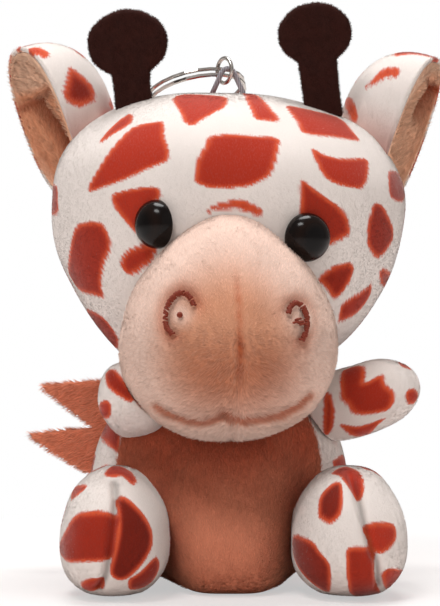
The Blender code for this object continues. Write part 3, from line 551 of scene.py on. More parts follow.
def growPile(name, skin, pile, body, material, sharesAt=None, keep=None, comb=None, lengthAt=None):
    rng = np.random.default_rng(pile["seed"])
    mesh = skin.data
    mesh.calc_loop_triangles()
    corners = np.empty(len(mesh.loop_triangles) * 3, np.int32)
    mesh.loop_triangles.foreach_get("vertices", corners)
    corners = corners.reshape(-1, 3)
    points, normals = readPoints(mesh), readPoints(mesh, "normal")
    a, b, c = (points[corners[:, k]] for k in range(3))
    area = np.linalg.norm(np.cross(b - a, c - a), axis=1) / 2
    count = int(area.sum() * pile["density"])
    pick = rng.choice(len(corners), count, p=area / area.sum())
    far, turn = np.sqrt(rng.random(count)), rng.random(count)
    share = np.stack([1 - far, far * (1 - turn), far * turn], 1)[:, :, None]
    root = (points[corners[pick]] * share).sum(1)
    normal = unit((normals[corners[pick]] * share).sum(1))
    if keep is not None:
        kept = keep(root)
        root, normal = root[kept], normal[kept]
    count = len(root)
    way = np.broadcast_to(np.array(pile["comb"], float), root.shape) if comb is None else comb(root)
    way = (
        way + pushNoise(root, pile["swirlSize"], pile["seed"]) * pile["swirl"]
        + rng.normal(size=root.shape) * pile["stray"]
    )
    way = unit(way - normal * (way * normal).sum(1)[:, None])
    lean = np.radians(pile["lean"] + rng.normal(size=count) * pile["leanSpread"])[:, None]
    long = pile["length"] * (1 + (rng.random(count) - 0.5) * pile["uneven"])
    if lengthAt is not None:
        long = long * lengthAt(root)
    stand = unit(normal * np.cos(lean) + way * np.sin(lean))
    tuft = pushNoise(root, pile["tuftSize"], pile["seed"] + 5.3) * pile["tuft"]
    tuft -= normal * (tuft * normal).sum(1)[:, None]
    tip = root + stand * long[:, None] + tuft * (long / pile["length"])[:, None]
    side = unit(np.cross(stand, normal + 0.01))
    other = np.cross(stand, side)
    wide = pile["width"] * (1 + (rng.random(count) - 0.5) * 0.5) / 2
    angles = rng.random(count) * math.tau
    strand = np.empty((count, 4, 3))
    for k in range(3):
        around = angles + k * math.tau / 3
        strand[:, k] = (
            root - normal * 0.12
            + (side * np.cos(around)[:, None] + other * np.sin(around)[:, None]) * wide[:, None]
        )
    strand[:, 3] = tip
    bent = unit(normal + rng.normal(size=root.shape) * pile["glint"])
    shown = np.repeat(bent[:, None], 4, 1)
    shown[:, 3] = unit(bent + stand * 0.35)
    seen = unit(root - (root.max(0) + root.min(0)) / 2)
    flat = np.stack(
        [np.arctan2(seen[:, 0], -seen[:, 1]) / math.tau + 0.5, np.arcsin(seen[:, 2]) / math.pi + 0.5], 1
    )
    shares = {"shade": rng.random(count)}
    if sharesAt is not None:
        shares.update(sharesAt(root, rng.normal(size=count) * pile["printJitter"]))
    parts = math.ceil(count / mostStrands)
    for number, chosen in enumerate(np.array_split(np.argsort(root[:, 1], kind="stable"), parts)):
        label = name if parts == 1 else f"{name}_{number + 1}"
        coat = strandMesh(label, strand[chosen], shown[chosen], flat[chosen])
        setShares(
            coat, tip=np.tile([0.0, 0, 0, 1], len(chosen)),
            **{key: np.repeat(value[chosen], 4) for key, value in shares.items()}
        )
        addPiece(label, coat, body, material)
    print(f"{name}: {count} strands")


shortPile = {
    "density": 12.0, "length": 0.48, "width": 0.18, "uneven": 0.15, "lean": 74.0, "leanSpread": 2.0,
    "comb": (0, -0.35, 1),
    "swirl": 0.12, "swirlSize": 12.0, "stray": 0.04, "tuft": 0.0, "tuftSize": 1.1, "glint": 0.03,
    "printJitter": 0.03, "seed": 11,
}


def softSkin(name, piece, body, material, shape=None, shares=None):
    ways, faces = evenSphere(piece["cuts"])
    form = grown(piece["form"], -piece["sink"])
    points = formPoints(form, ways)
    lumps = softNoise(points, piece["lumpSize"], piece["seed"]) * piece["lumps"]
    points = points + unit(points - form["place"]) * lumps[:, None]
    if shape is not None:
        points = shape(points)
    mesh = meshFrom(name, points, faces)
    if shares is not None:
        setShares(mesh, **shares(points))
    skin = addPiece(name, mesh, body, material)
    return skin


# camera: level with the toy's middle, the photograph's frame

view = {"target": (-1.5, 0.0, 51.8), "distance": 450.0, "height": 0.5, "focal": 93.801, "frame": 24.0}


def addCamera():
    data = bpy.data.cameras.new("camera")
    data.sensor_fit = "VERTICAL"
    data.sensor_height = view["frame"]
    data.lens = view["focal"]
    data.clip_start = 0.01
    camera = bpy.data.objects.new("camera", data)
    rise = math.radians(view["height"])
    way = Vector((0, -math.cos(rise), math.sin(rise)))
    camera.location = (Vector(view["target"]) + way * view["distance"]) * mm
    camera.rotation_euler = way.to_track_quat("Z", "Y").to_euler()
    bpy.context.scene.collection.objects.link(camera)
    bpy.context.scene.camera = camera


addCamera()
print("camera set")

# head

head = {
    "form": formOf((0, 0, 70.5), 33.7, 28.0, 28.0, 21.4, 37.0, 2.3, tuck=0.27, turn=turnAbout("Y", 3)),
    "cuts": 84, "sink": 0.5, "lumps": 0.45, "lumpSize": 11.0, "seed": 2.0, "fill": 0.85,
    "nodPivot": np.array([0, 2.0, 37.0]), "nod": -8.0,
}
headCoat = {
    "seed": 5, "mapSize": 50.0, "rearFrom": 0.98, "spacing": 15.5, "gap": 4.6,
    # painted shade: how much darker each listed spot is drawn
    "deep": {0: 0.25, 4: 0.2, 5: 0.5, 6: 0.35, 8: 0.5, 10: 0.2, 11: 0.45, 12: 0.6, 13: 0.6, 14: 0.4,
        15: 0.6, 16: 0.5, 18: 0.6, 19: 0.6},
    "spots": (
        ((-0.06, 0.34), (-0.01, 0.36), (0.09, 0.36), (0.18, 0.35), (0.18, 0.29), (0.15, 0.15), (0.11, 0.10),
         (0.06, 0.07), (-0.05, 0.06), (-0.11, 0.09), (-0.11, 0.13), (-0.10, 0.21), (-0.07, 0.30)),
        ((-0.22, 0.66), (-0.20, 0.75), (-0.13, 0.76), (-0.00, 0.72), (0.00, 0.58), (-0.04, 0.52),
         (-0.08, 0.47), (-0.12, 0.42), (-0.15, 0.44), (-0.17, 0.51)),
        ((0.10, 1.01), (0.13, 1.04), (0.15, 0.81), (0.17, 0.60), (0.20, 0.48), (0.15, 0.47), (0.11, 0.48),
         (0.10, 0.54), (0.09, 0.67)),
        ((-0.34, 0.42), (-0.28, 0.44), (-0.23, 0.44), (-0.22, 0.35), (-0.20, 0.25), (-0.21, 0.20),
         (-0.28, 0.16), (-0.37, 0.10), (-0.50, 0.04), (-0.52, 0.06), (-0.48, 0.15), (-0.42, 0.28),
         (-0.37, 0.38)),
        ((-0.41, 0.02), (-0.33, 0.05), (-0.25, 0.06), (-0.23, 0.02), (-0.24, -0.00), (-0.28, -0.06),
         (-0.32, -0.10), (-0.37, -0.06), (-0.41, -0.01)),
        ((-0.60, -0.09), (-0.54, -0.07), (-0.47, -0.07), (-0.44, -0.10), (-0.43, -0.15), (-0.47, -0.21),
         (-0.50, -0.28), (-0.51, -0.33), (-0.56, -0.33), (-0.69, -0.34), (-0.75, -0.29), (-0.69, -0.21),
         (-0.64, -0.14)),
        ((-0.39, -0.19), (-0.36, -0.16), (-0.29, -0.14), (-0.25, -0.15), (-0.27, -0.19), (-0.30, -0.21),
         (-0.36, -0.24), (-0.39, -0.22)),
        ((-0.38, 0.54), (-0.36, 0.46), (-0.42, 0.39), (-0.48, 0.33), (-0.46, 0.42), (-0.41, 0.52)),
        ((-0.83, 0.11), (-0.77, 0.09), (-0.75, 0.01), (-0.76, -0.04), (-0.90, -0.05), (-1.04, 0.03),
         (-1.03, 0.13)),
        ((0.25, 0.61), (0.34, 0.62), (0.49, 0.60), (0.52, 0.48), (0.53, 0.40), (0.41, 0.39), (0.29, 0.39),
         (0.27, 0.46)),
        ((0.30, 0.29), (0.35, 0.26), (0.43, 0.25), (0.54, 0.27), (0.53, 0.17), (0.50, 0.10), (0.46, 0.08),
         (0.38, 0.10), (0.33, 0.15)),
        ((0.25, 0.11), (0.30, 0.06), (0.36, 0.00), (0.42, -0.05), (0.44, -0.10), (0.43, -0.12),
         (0.34, -0.15), (0.28, -0.13), (0.25, -0.05)),
        ((0.55, -0.01), (0.59, -0.00), (0.67, -0.07), (0.71, -0.11), (0.71, -0.16), (0.62, -0.21),
         (0.55, -0.17), (0.53, -0.13), (0.53, -0.07)),
        ((0.33, -0.26), (0.38, -0.22), (0.45, -0.21), (0.48, -0.23), (0.47, -0.27), (0.42, -0.33),
         (0.36, -0.28)),
        ((0.61, -0.31), (0.58, -0.32), (0.47, -0.35), (0.46, -0.39), (0.48, -0.43), (0.52, -0.43),
         (0.58, -0.42), (0.63, -0.37)),
        ((0.65, -0.27), (0.73, -0.28), (0.95, -0.39), (0.94, -0.44), (0.73, -0.35)),
        ((0.72, 0.24), (0.98, 0.25), (1.00, 0.15), (0.81, 0.03), (0.68, 0.05), (0.67, 0.14)),
        ((-0.07, -0.04), (-0.05, -0.02), (-0.01, -0.01), (0.03, -0.00), (0.07, -0.01), (0.11, -0.03),
         (0.12, -0.04), (0.10, -0.05), (0.07, -0.04), (0.03, -0.03), (-0.00, -0.03), (-0.04, -0.03)),
        ((-0.72, -0.45), (-0.59, -0.42), (-0.54, -0.47), (-0.55, -0.56), (-0.74, -0.72), (-0.80, -0.64),
         (-0.87, -0.58)),
        ((-0.80, -0.73), (-0.75, -0.74), (-0.79, -0.80), (-0.84, -0.79)),
    ),
}
headPile = {**shortPile, "seed": 21}
muzzle = {
    "form": formOf((0, -26, 44.5), 19.9, 20.0, 11.0, 24.0, 17.2, 2.1, 0.35, 0.35, turn=turnAbout("Z", 6)),
    "cuts": 64, "sink": 0.5, "lumps": 0.4, "lumpSize": 8.0, "seed": 4.0, "fill": 0.85,
    "seat": (0, -43, 45.5), "seamDepth": 0.3, "seamWidth": 0.6, "mouthDepth": 0.9, "mouthWidth": 0.85,
    "nostrilDepth": 0.7,
    "seamTop": 15.0, "dent": (-0.7, 32.9), "dentSize": 0.8,
    "middle": (0, -24, 42.5), "lipLift": 0.35, "lipBelow": 1.9, "lipWidth": 1.3, "nostrilWidth": 1.3,
}


def makeHead():
    shares = printOn(head["form"], headCoat)
    skin = softSkin("head_skin", head, "head", coatPlush, shares=shares)
    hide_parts("head_cover", "head_stuffing")
    clear = grown(muzzle["form"], 0.2)
    growPile(
        "head_pile", skin, headPile, "head", coatPlush,
        sharesAt=shares, keep=lambda p: levelOf(clear, p) > 1,
    )


makeHead()
print("head made")

# muzzle, with its centre seam, mouth crease and sunk nostrils

mouthLine = (
    (-12.6, 33.9), (-11.1, 32.9), (-9.0, 32.1), (-6.7, 31.4), (-4.3, 31.3), (-2.0, 32.1), (-0.6, 32.9),
    (0.6, 32.2), (3.0, 31.7),
    (6.0, 32.0), (8.9, 32.6), (11.8, 33.8), (14.3, 35.8),
)
nostrils = {
    "right": ((-6.1, 52.0), (-6.9, 53.4), (-8.2, 54.1), (-9.8, 53.2), (-10.8, 51.5), (-11.1, 49.6),
        (-10.8, 48.0), (-9.8, 46.9)),
    "left": ((10.5, 50.6), (10.9, 51.7), (11.8, 52.3), (12.9, 51.8), (13.7, 50.2), (13.8, 48.5),
        (13.5, 47.0), (12.7, 45.7)),
}


def lineGap(at, line):
    # how far places are from a line of points
    line = np.array(line, float)
    least = np.full(len(at), 99.0)
    for a, b in zip(line, line[1:]):
        edge = b - a
        share = np.clip((at - a) @ edge / (edge @ edge), 0, 1)
        least = np.minimum(least, np.linalg.norm(at - a - share[:, None] * edge, axis=1))
    return least


def muzzleMarks(points):
    local = inForm(muzzle["form"], points)
    facing = smoothStep(-24, -32, points[:, 1])
    seen = points[:, [0, 2]]
    mouth = np.exp(-((lineGap(seen, mouthLine) / muzzle["mouthWidth"]) ** 2)) * facing
    seam = (
        np.exp(-((local[:, 0] / muzzle["seamWidth"]) ** 2)) * facing
        * smoothStep(muzzle["seamTop"], muzzle["seamTop"] - 6, local[:, 2])
    )
    holes = np.max(
        [np.exp(-((lineGap(seen, line) / muzzle["nostrilWidth"]) ** 2)) for line in nostrils.values()],
        axis=0
    ) * facing
    return mouth, seam, holes, local


def shapeMuzzle(points):
    points = pressedOut(points, grown(head["form"], -0.2), muzzle["seat"])
    mouth, seam, holes, local = muzzleMarks(points)
    way = unit(points - np.array(muzzle["middle"]))
    under = lineGap(points[:, [0, 2]] + [0, muzzle["lipBelow"]], mouthLine) / muzzle["lipWidth"]
    lip = np.exp(-(under**2)) * smoothStep(-24, -32, points[:, 1])
    drawn = muzzle["seamDepth"] * (0.5 + 0.5 * smoothStep(8, -8, local[:, 2]))
    sunk = mouth * muzzle["mouthDepth"] + seam * drawn + holes * muzzle["nostrilDepth"]
    return points - way * (sunk - lip * muzzle["lipLift"])[:, None]


# painted shade low on the muzzle's front and in dots along its seam
muzzlePaintedShade = {"low": 0.46, "seamDots": ((-0.5, 1.6), (-7.5, 1.0), (-4.0, 0.7))}


def muzzlePaintedShading(points, stray=None):
    # painted shade: warm brown in the creases, round the nostrils and low down; painted light: pale on top,
    # round the edge and on the lip; paler inside each nostril
    mouth, seam, _, local = muzzleMarks(points)
    seen = points[:, [0, 2]]
    broken = smoothStep(-0.25, 0.3, softNoise(points, 1.3, 8.0))
    outer, inner = np.zeros(len(points)), np.zeros(len(points))
    for line, middle in ((nostrils["right"], (-8.4, 50.2)), (nostrils["left"], (11.7, 49.2))):
        gap = lineGap(seen, line)
        away = np.linalg.norm(seen - middle, axis=1)
        # painted shade round the outside of each nostril
        outer = np.maximum(outer, np.exp(-((gap / 1.9) ** 2)) * smoothStep(2.2, 3.6, away) * 0.75)
        inner = np.maximum(inner, np.exp(-((away / 2.1) ** 2)))
    # painted shade in the dent at the middle of the mouth
    dent = np.exp(-((np.linalg.norm(seen - muzzle["dent"], axis=1) / muzzle["dentSize"]) ** 2))
    upper = smoothStep(-9, 2, local[:, 2])
    # painted shade low on the front
    low = smoothStep(5, -5, local[:, 2]) * smoothStep(-17, -11, local[:, 2])
    low = low * np.exp(-((local[:, 0] / 13) ** 4)) * muzzlePaintedShade["low"]
    dots = sum(np.exp(-(((local[:, 2] - height) / size) ** 2)) for height, size in muzzlePaintedShade["seamDots"])
    paintedWarmShade = np.clip(
        mouth * 0.85 + dent * 0.4 + seam * (0.3 + 0.3 * broken + 0.5 * dots) * upper + outer + low, 0, 1
    )
    # painted light: pale round the edge as a painted sheen, on top and on the lip below the mouth
    edge = smoothStep(0.2, 0.6, np.linalg.norm(frontMap(muzzle["form"], points), axis=1))
    top = smoothStep(8, 22, local[:, 2]) * 0.3
    lip = np.exp(-(((lineGap(seen + [0, 2.3], mouthLine)) / 1.4) ** 2)) * 0.5
    pale = np.clip(np.maximum.reduce([edge, top, lip, inner * 0.8]) * (1 - paintedWarmShade * 0.85), 0, 1)
    return {
        "print": paintedWarmShade, "rim": pale,
        "deep": np.clip(dent * 0.5 + mouth * 0.2 + seam * dots * 0.15 * upper, 0, 1)
    }


def combMuzzle(points):
    local = inForm(muzzle["form"], points)
    away = np.sign(local[:, 0]) * smoothStep(0, 4, np.abs(local[:, 0]))
    upper = smoothStep(-3, 9, local[:, 2])
    return np.stack([away * (1.1 - 0.7 * upper), -0.3 * upper, -0.6 + 1.6 * upper], 1)


muzzlePile = {
    **shortPile, "seed": 31, "density": 11.0, "length": 0.95, "width": 0.18, "uneven": 0.3, "lean": 56.0,
    "leanSpread": 6.0,
    "tuft": 0.2, "tuftSize": 1.1, "swirl": 0.55, "swirlSize": 2.6, "stray": 0.12, "glint": 0.06,
}


def makeMuzzle():
    skin = softSkin(
        "muzzle_skin", muzzle, "head", peachPlush, shape=shapeMuzzle, shares=muzzlePaintedShading,
    )
    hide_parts("muzzle_panel_left", "muzzle_panel_right")
    behind = grown(head["form"], 0.1)

    def keep(points):
        return (levelOf(behind, points) > 1) & (muzzleMarks(points)[2] < 0.8)

    def lengthAt(points):
        # short and smooth on top, longer and parted low in front
        local = inForm(muzzle["form"], points)
        return 0.55 + 0.85 * smoothStep(5, -4, local[:, 2]) * np.exp(-((local[:, 0] / 12) ** 2))

    growPile(
        "muzzle_pile", skin, muzzlePile, "head", peachPlush, keep=keep, comb=combMuzzle,
        lengthAt=lengthAt,
        sharesAt=muzzlePaintedShading,
    )


makeMuzzle()
print("muzzle made")

# body: a coat behind and a belly panel in front, dented by the head that sits on it

body = {
    "form": formOf((-1.7, 1, 15.5), 25.0, 24.0, 20.0, 24.0, 16.0, 2.3),
    "cuts": 60, "sink": 0.5, "lumps": 0.4, "lumpSize": 9.0, "seed": 6.0, "fill": 0.8,
    "centre": (-1.7, 1, 15.5), "floor": 0.1, "pileFloor": 0.6,
    "bellyCut": (0.052, 0.056), "bellyCutArea": 0.0024,  # the cloth before it is sewn, in metres
    "bellyMiddle": (-1.7, 21.0), "bellySize": (19.6, 21.0), "bellyLow": 34.0, "bellyBack": -4.0,
    "bellyLift": 0.35,
    "sagFront": 34.5, "sagFullness": 6.0, "sagMiddle": 0.3, "sagHalf": 10.5,
}
# deep is painted shade: how much darker a listed spot is drawn
bodyCoat = {
    "seed": 9, "mapSize": 34.0, "rearFrom": 0.8, "spacing": 13.5, "gap": 4.2, "deep": {0: 0.4},
    "spots": (
        ((-0.82, 0.67), (-0.55, 0.49), (-0.53, 0.39), (-0.52, 0.26), (-0.65, 0.33), (-0.91, 0.46),
         (-0.90, 0.56)),
        ((0.67, 0.24), (0.90, 0.28), (0.99, 0.24), (0.77, 0.17), (0.65, 0.18)),
        ((-0.70, 0.17), (-0.59, 0.19), (-0.56, 0.12), (-0.65, 0.09)),
        ((1.00, 0.43), (1.10, 0.39), (1.10, 0.28), (1.00, 0.30)),
    ),
}
bodyPile = {**shortPile, "seed": 41}
bellyPile = {
    **shortPile, "seed": 43, "length": 0.8, "tuft": 0.12, "stray": 0.16, "swirl": 0.35, "swirlSize": 6.0,
    "glint": 0.08,
    "density": 11.0, "uneven": 0.3, "lean": 58.0,
}


def headsAt(gap):
    pivot, nod = head["nodPivot"], head["nod"]
    for form in (grown(head["form"], gap), grown(muzzle["form"], gap)):
        yield form
        yield nodded(form, pivot, nod)


def saggedBody(points):
    # the filling settles forward between the feet
    form = body["form"]
    full = formPoints(
        {**form, "fullness": body["sagFullness"], "front": body["sagFront"]}, unit(formWays(form, points))
    )
    share = (
        smoothStep(34, 2, points[:, 2]) * smoothStep(0, -6, points[:, 1])
        * np.exp(-(((points[:, 0] - body["sagMiddle"]) / body["sagHalf"]) ** 4))
    )
    sagged = points.copy()
    sagged[:, 1:] += (full - points)[:, 1:] * share[:, None]
    return sagged


def shapeBody(points):
    points = saggedBody(points)
    for form in headsAt(0.0):
        points = pressedOut(points, form, body["centre"])
    points[:, 2] = np.maximum(points[:, 2], body["floor"])
    return points


def bellyDepth(points):
    # millimetres inside the belly panel's edge
    across = (points[:, 0] - body["bellyMiddle"][0]) / body["bellySize"][0]
    up = points[:, 2] - body["bellyMiddle"][1]
    up = up / np.where(up < 0, body["bellyLow"], body["bellySize"][1])
    inside = (1 - np.hypot(across, up)) * body["bellySize"][0]
    return np.minimum(inside, body["bellyBack"] - points[:, 1])


def bellyPaintedShade(points, stray=None):
    # painted shade and light: redder under the chin where the muzzle shades it, paler lower down where the
    # light reaches
    height = points[:, 2] + softNoise(points, 7.0, 12.0) * 4
    return {"print": smoothStep(12, 30, height) * 0.8}


def makeBody():
    shares = printOn(body["form"], bodyCoat)
    skin = softSkin("body_skin", body, "torso", coatPlush, shape=shapeBody, shares=shares)
    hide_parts("back_panel", "body_stuffing")
    points, normals = readPoints(skin.data), readPoints(skin.data, "normal")
    deep = bellyDepth(points)
    faces = [list(f.vertices) for f in skin.data.polygons]
    shown = [f for f in faces if min(deep[f]) > 0.0]
    used = sorted({i for f in shown for i in f})
    number = {old: new for new, old in enumerate(used)}
    lift = -0.5 + smoothStep(0, 1.6, deep[used]) * (0.5 + body["bellyLift"])
    panel = meshFrom(
        "belly_skin", points[used] + normals[used] * lift[:, None], [[number[i] for i in f] for f in shown]
    )
    setShares(panel, **bellyPaintedShade(points[used]))
    belly = addPiece("belly_skin", panel, "torso", bellyPlush)
    wall = belly.modifiers.new("wall", "SOLIDIFY")
    wall.thickness = 0.7 * mm
    wall.offset = -1
    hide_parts("belly_panel")
    heads = list(headsAt(0.3))

    def uncovered(points):
        return clearOf(heads, points) & (points[:, 2] > body["pileFloor"])

    growPile(
        "body_pile", skin, bodyPile, "torso", coatPlush,
        sharesAt=shares,
        keep=lambda p: uncovered(p) & (bellyDepth(p) < 0.3),
    )
    growPile(
        "belly_pile", belly, bellyPile, "torso", bellyPlush, sharesAt=bellyPaintedShade,
        keep=lambda p: uncovered(p) & (bellyDepth(p) > 0.4),
    )


makeBody()
print("body made")

# arms and legs

armShoulder = {"left": (17.0, -6.5, 31.1), "right": (-16.0, -11.0, 32.3)}
armPoints = {"left": (0.88, -0.34, 0.33), "right": (-0.12, -0.95, 0.3)}
armReach = {"left": 20.3, "right": 17.0}


def armForm(side):
    points = unit(np.array(armPoints[side]))
    half = (armReach[side] + 5.0) / 2
    place = np.array(armShoulder[side]) + points * (armReach[side] - half)
    return formOf(place, 6.9, 6.9, 6.9, half, half, 2.5, -0.06, turn=standAlong(points))


limbs = {
    "arm_left": {
        "form": armForm("left"), "cuts": 34, "sink": 0.45, "lumps": 0.3, "lumpSize": 5.0, "seed": 7.0,
        "fill": 0.75,
        "comb": (0.3, -0.3, 1), "tip": (32.5, -13.0, 37.0),
    },
    "arm_right": {
        "form": armForm("right"), "cuts": 34, "sink": 0.45, "lumps": 0.3, "lumpSize": 5.0, "seed": 8.0,
        "fill": 0.75,
        "comb": (-0.1, -0.4, 1), "tip": (-18.3, -26.0, 36.5),
    },
    "leg_left": {
        "form": formOf((21.4, -27.5, 9.3), 10.7, 15.5, 15.5, 14.0, 9.8, 2.4, 0.14),
        "cuts": 56, "sink": 0.5, "lumps": 0.35, "lumpSize": 6.0, "seed": 9.0, "fill": 0.8,
        "comb": (-0.1, -0.4, 1), "tip": (21.4, -34.0, 9.3),
        "crease": ((21.2, 23.5), (22.0, 20.1), (23.1, 14.9), (24.4, 10.1), (25.6, 7.2), (26.2, 2.9)),
    },
    "leg_right": {
        "form": formOf((-20.2, -27.5, 9.3), 10.2, 15.5, 15.5, 14.0, 9.8, 2.4, 0.14),
        "cuts": 56, "sink": 0.5, "lumps": 0.35, "lumpSize": 6.0, "seed": 10.0, "fill": 0.8,
        "comb": (0.1, -0.4, 1), "tip": (-20.2, -34.0, 9.3),
        "crease": ((-19.9, 20.6), (-19.5, 18.3), (-19.9, 14.9), (-20.4, 10.6), (-20.7, 7.7), (-21.3, 5.0),
            (-22.8, 2.5)),
    },
}
foldShape = {"depth": 1.2, "width": 0.75}
# deep is painted shade: how much darker a listed spot is drawn
limbCoats = {
    "leg_right": {"seed": 3, "mapSize": 20.0, "rearFrom": 1.0, "spacing": 10.5, "gap": 3.4,
        "deep": {0: 0.5, 1: 1.0, 5: 0.6}, "spots": (
        ((-0.69, 0.10), (-0.45, 0.28), (-0.21, 0.32), (0.02, 0.31), (0.12, 0.28), (0.08, 0.13),
         (0.02, -0.08), (-0.30, -0.13), (-0.63, -0.17), (-1.01, -0.10)),
        ((0.04, 0.43), (0.11, 0.46), (0.29, 0.36), (0.44, 0.20), (0.46, 0.03), (0.30, -0.21), (0.12, -0.35),
         (-0.02, -0.26), (0.02, -0.04), (0.07, 0.15), (0.07, 0.30)),
        ((-0.15, 0.76), (0.01, 1.00), (0.27, 0.84), (0.34, 0.64), (0.27, 0.57), (0.13, 0.68),
         (-0.08, 0.68)),
        ((-0.63, 0.46), (-0.77, 0.66), (-0.41, 0.59), (-0.38, 0.53), (-0.48, 0.47)),
        ((-0.37, -0.42), (-0.23, -0.32), (-0.10, -0.35), (-0.12, -0.50), (-0.35, -0.56)),
        ((0.19, -0.35), (0.30, -0.27), (0.51, -0.10), (0.58, -0.28), (0.45, -0.52), (0.22, -0.52)),
    )},
    "leg_left": {"seed": 4, "mapSize": 20.0, "rearFrom": 1.0, "spacing": 10.5, "gap": 3.4,
        "deep": {1: 0.9, 2: 0.75, 4: 0.45}, "spots": (
        ((-0.29, 0.79), (-0.06, 1.00), (0.15, 0.76), (0.16, 0.54), (0.09, 0.43), (0.00, 0.51),
         (-0.15, 0.68)),
        ((-0.38, 0.30), (-0.37, 0.46), (-0.22, 0.60), (-0.12, 0.56), (-0.12, 0.32), (-0.23, 0.22),
         (-0.34, 0.25)),
        ((-0.76, 0.10), (-0.46, 0.08), (-0.34, -0.02), (-0.23, -0.20), (-0.27, -0.60), (-0.46, -0.48),
         (-0.69, -0.28), (-0.84, -0.08)),
        ((0.12, 0.21), (0.36, 0.23), (0.49, 0.19), (0.48, 0.07), (0.32, -0.03), (0.20, 0.01), (0.17, 0.09)),
        ((-0.06, 0.02), (0.09, 0.04), (0.25, -0.01), (0.26, -0.34), (0.48, -0.94), (0.04, -0.66),
         (-0.05, -0.37), (-0.07, -0.13)),
        ((0.33, -0.31), (0.51, -0.25), (0.92, -0.58), (0.79, -0.83), (0.58, -0.82)),
        ((-1.00, -0.83), (-0.86, -0.70), (-0.74, -0.80), (-0.77, -0.96), (-0.97, -0.97)),
    )},
    "arm_left": {"seed": 6, "mapSize": 14.0, "rearFrom": 1.02, "spacing": 9.5, "gap": 3.2,
        "deep": {0: 0.4, 4: 0.8}, "spots": (
        ((-0.34, 0.50), (-0.32, 0.69), (-0.17, 0.71), (-0.08, 0.60), (-0.06, 0.42), (-0.06, 0.28),
         (0.04, 0.33), (0.12, 0.36), (0.17, 0.20), (0.28, 0.04), (0.29, -0.14), (0.23, -0.23),
         (0.04, -0.25), (-0.11, -0.20), (-0.22, -0.01), (-0.29, 0.10)),
        ((-0.21, -0.37), (-0.01, -0.45), (0.16, -0.41), (0.28, -0.37), (0.24, -0.55), (0.30, -0.99),
         (0.01, -0.70), (-0.14, -0.49)),
        ((0.57, 0.88), (0.70, 0.92), (0.86, 0.76), (0.75, 0.55), (0.42, 0.55)),
        ((0.44, 0.03), (0.62, 0.07), (0.81, -0.08), (0.72, -0.22), (0.49, -0.15)),
        ((-0.48, 0.18), (-0.40, 0.15), (-0.32, -0.13), (-0.29, -0.46), (-0.37, -0.53)),
    )},
    "arm_right": {"seed": 8, "mapSize": 14.0, "rearFrom": 1.02, "spacing": 9.5, "gap": 3.2,
        "deep": {0: 0.6}, "spots": (
        ((-0.54, 0.47), (-0.37, 0.52), (-0.17, 0.32), (0.03, 0.01), (-0.04, -0.08), (-0.22, 0.01),
         (-0.44, 0.19)),
        ((-0.66, -0.12), (-0.42, -0.06), (-0.36, -0.20), (-0.49, -0.37), (-0.93, -0.42)),
    )},
}
limbPile = {**shortPile, "length": 0.5}


def creaseShare(limb, points):
    # how near places on the front of a foot are to its pinched crease
    if "crease" not in limb:
        return np.zeros(len(points))
    gap = lineGap(points[:, [0, 2]], limb["crease"]) / foldShape["width"]
    return (
        np.exp(-(gap**2))
        * smoothStep(limb["form"]["place"][1] - 3, limb["form"]["place"][1] - 9, points[:, 1])
    )


def makeLimb(name, limb):
    form, printed = limb["form"], printOn(limb["form"], limbCoats[name])
    around = [grown(body["form"], 0.1)]
    if name.startswith("arm"):
        around += [grown(head["form"], 0.1), grown(muzzle["form"], 0.1)]

    def shape(points):
        for other in around:
            points = pressedOut(points, other, limb["tip"])
        points[:, 2] = np.maximum(points[:, 2], body["floor"])
        return (
            points - unit(points - form["place"])
            * (creaseShare(limb, points) * foldShape["depth"])[:, None]
        )

    def shares(points, stray=None):
        found = printed(points, stray)
        # painted shade darkens the pinched crease on the front of each foot
        return {**found, "deep": np.maximum(found["deep"], creaseShare(limb, points) ** 2 * 0.7)}

    skin = softSkin(f"{name}_skin", limb, name, coatPlush, shape=shape, shares=shares)
    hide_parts(f"{name}_cover", f"{name}_stuffing")
    beside = [grown(other, 0.4) for other in around]
    growPile(
        f"{name}_pile", skin, {**limbPile, "seed": int(limb["seed"]) + 50, "comb": limb["comb"]}, name,
        coatPlush,
        sharesAt=shares, keep=lambda p: clearOf(beside, p) & (p[:, 2] > body["pileFloor"]),
    )


for limbName, limbSettings in limbs.items():
    makeLimb(limbName, limbSettings)
print("limbs made")

# ears: a printed back and a peach lining, open to the front

ear = {
    "cut": (0.036, 0.042), "cutArea": 0.0012,  # of one printed back before it is sewn, in metres
    "width": 10.0, "depth": 14.0, "half": 15.6, "layer": 0.9, "gap": 0.3, "lean": 19.0, "nod": 8.0,
    "fullness": 2.4,
    "place": {"left": (34.6, 1.0, 83.8), "right": (-34.8, 1.0, 85.6)},
    "turn": {"left": 69.0, "right": 61.0},
    "across": 56, "along": 72,
}
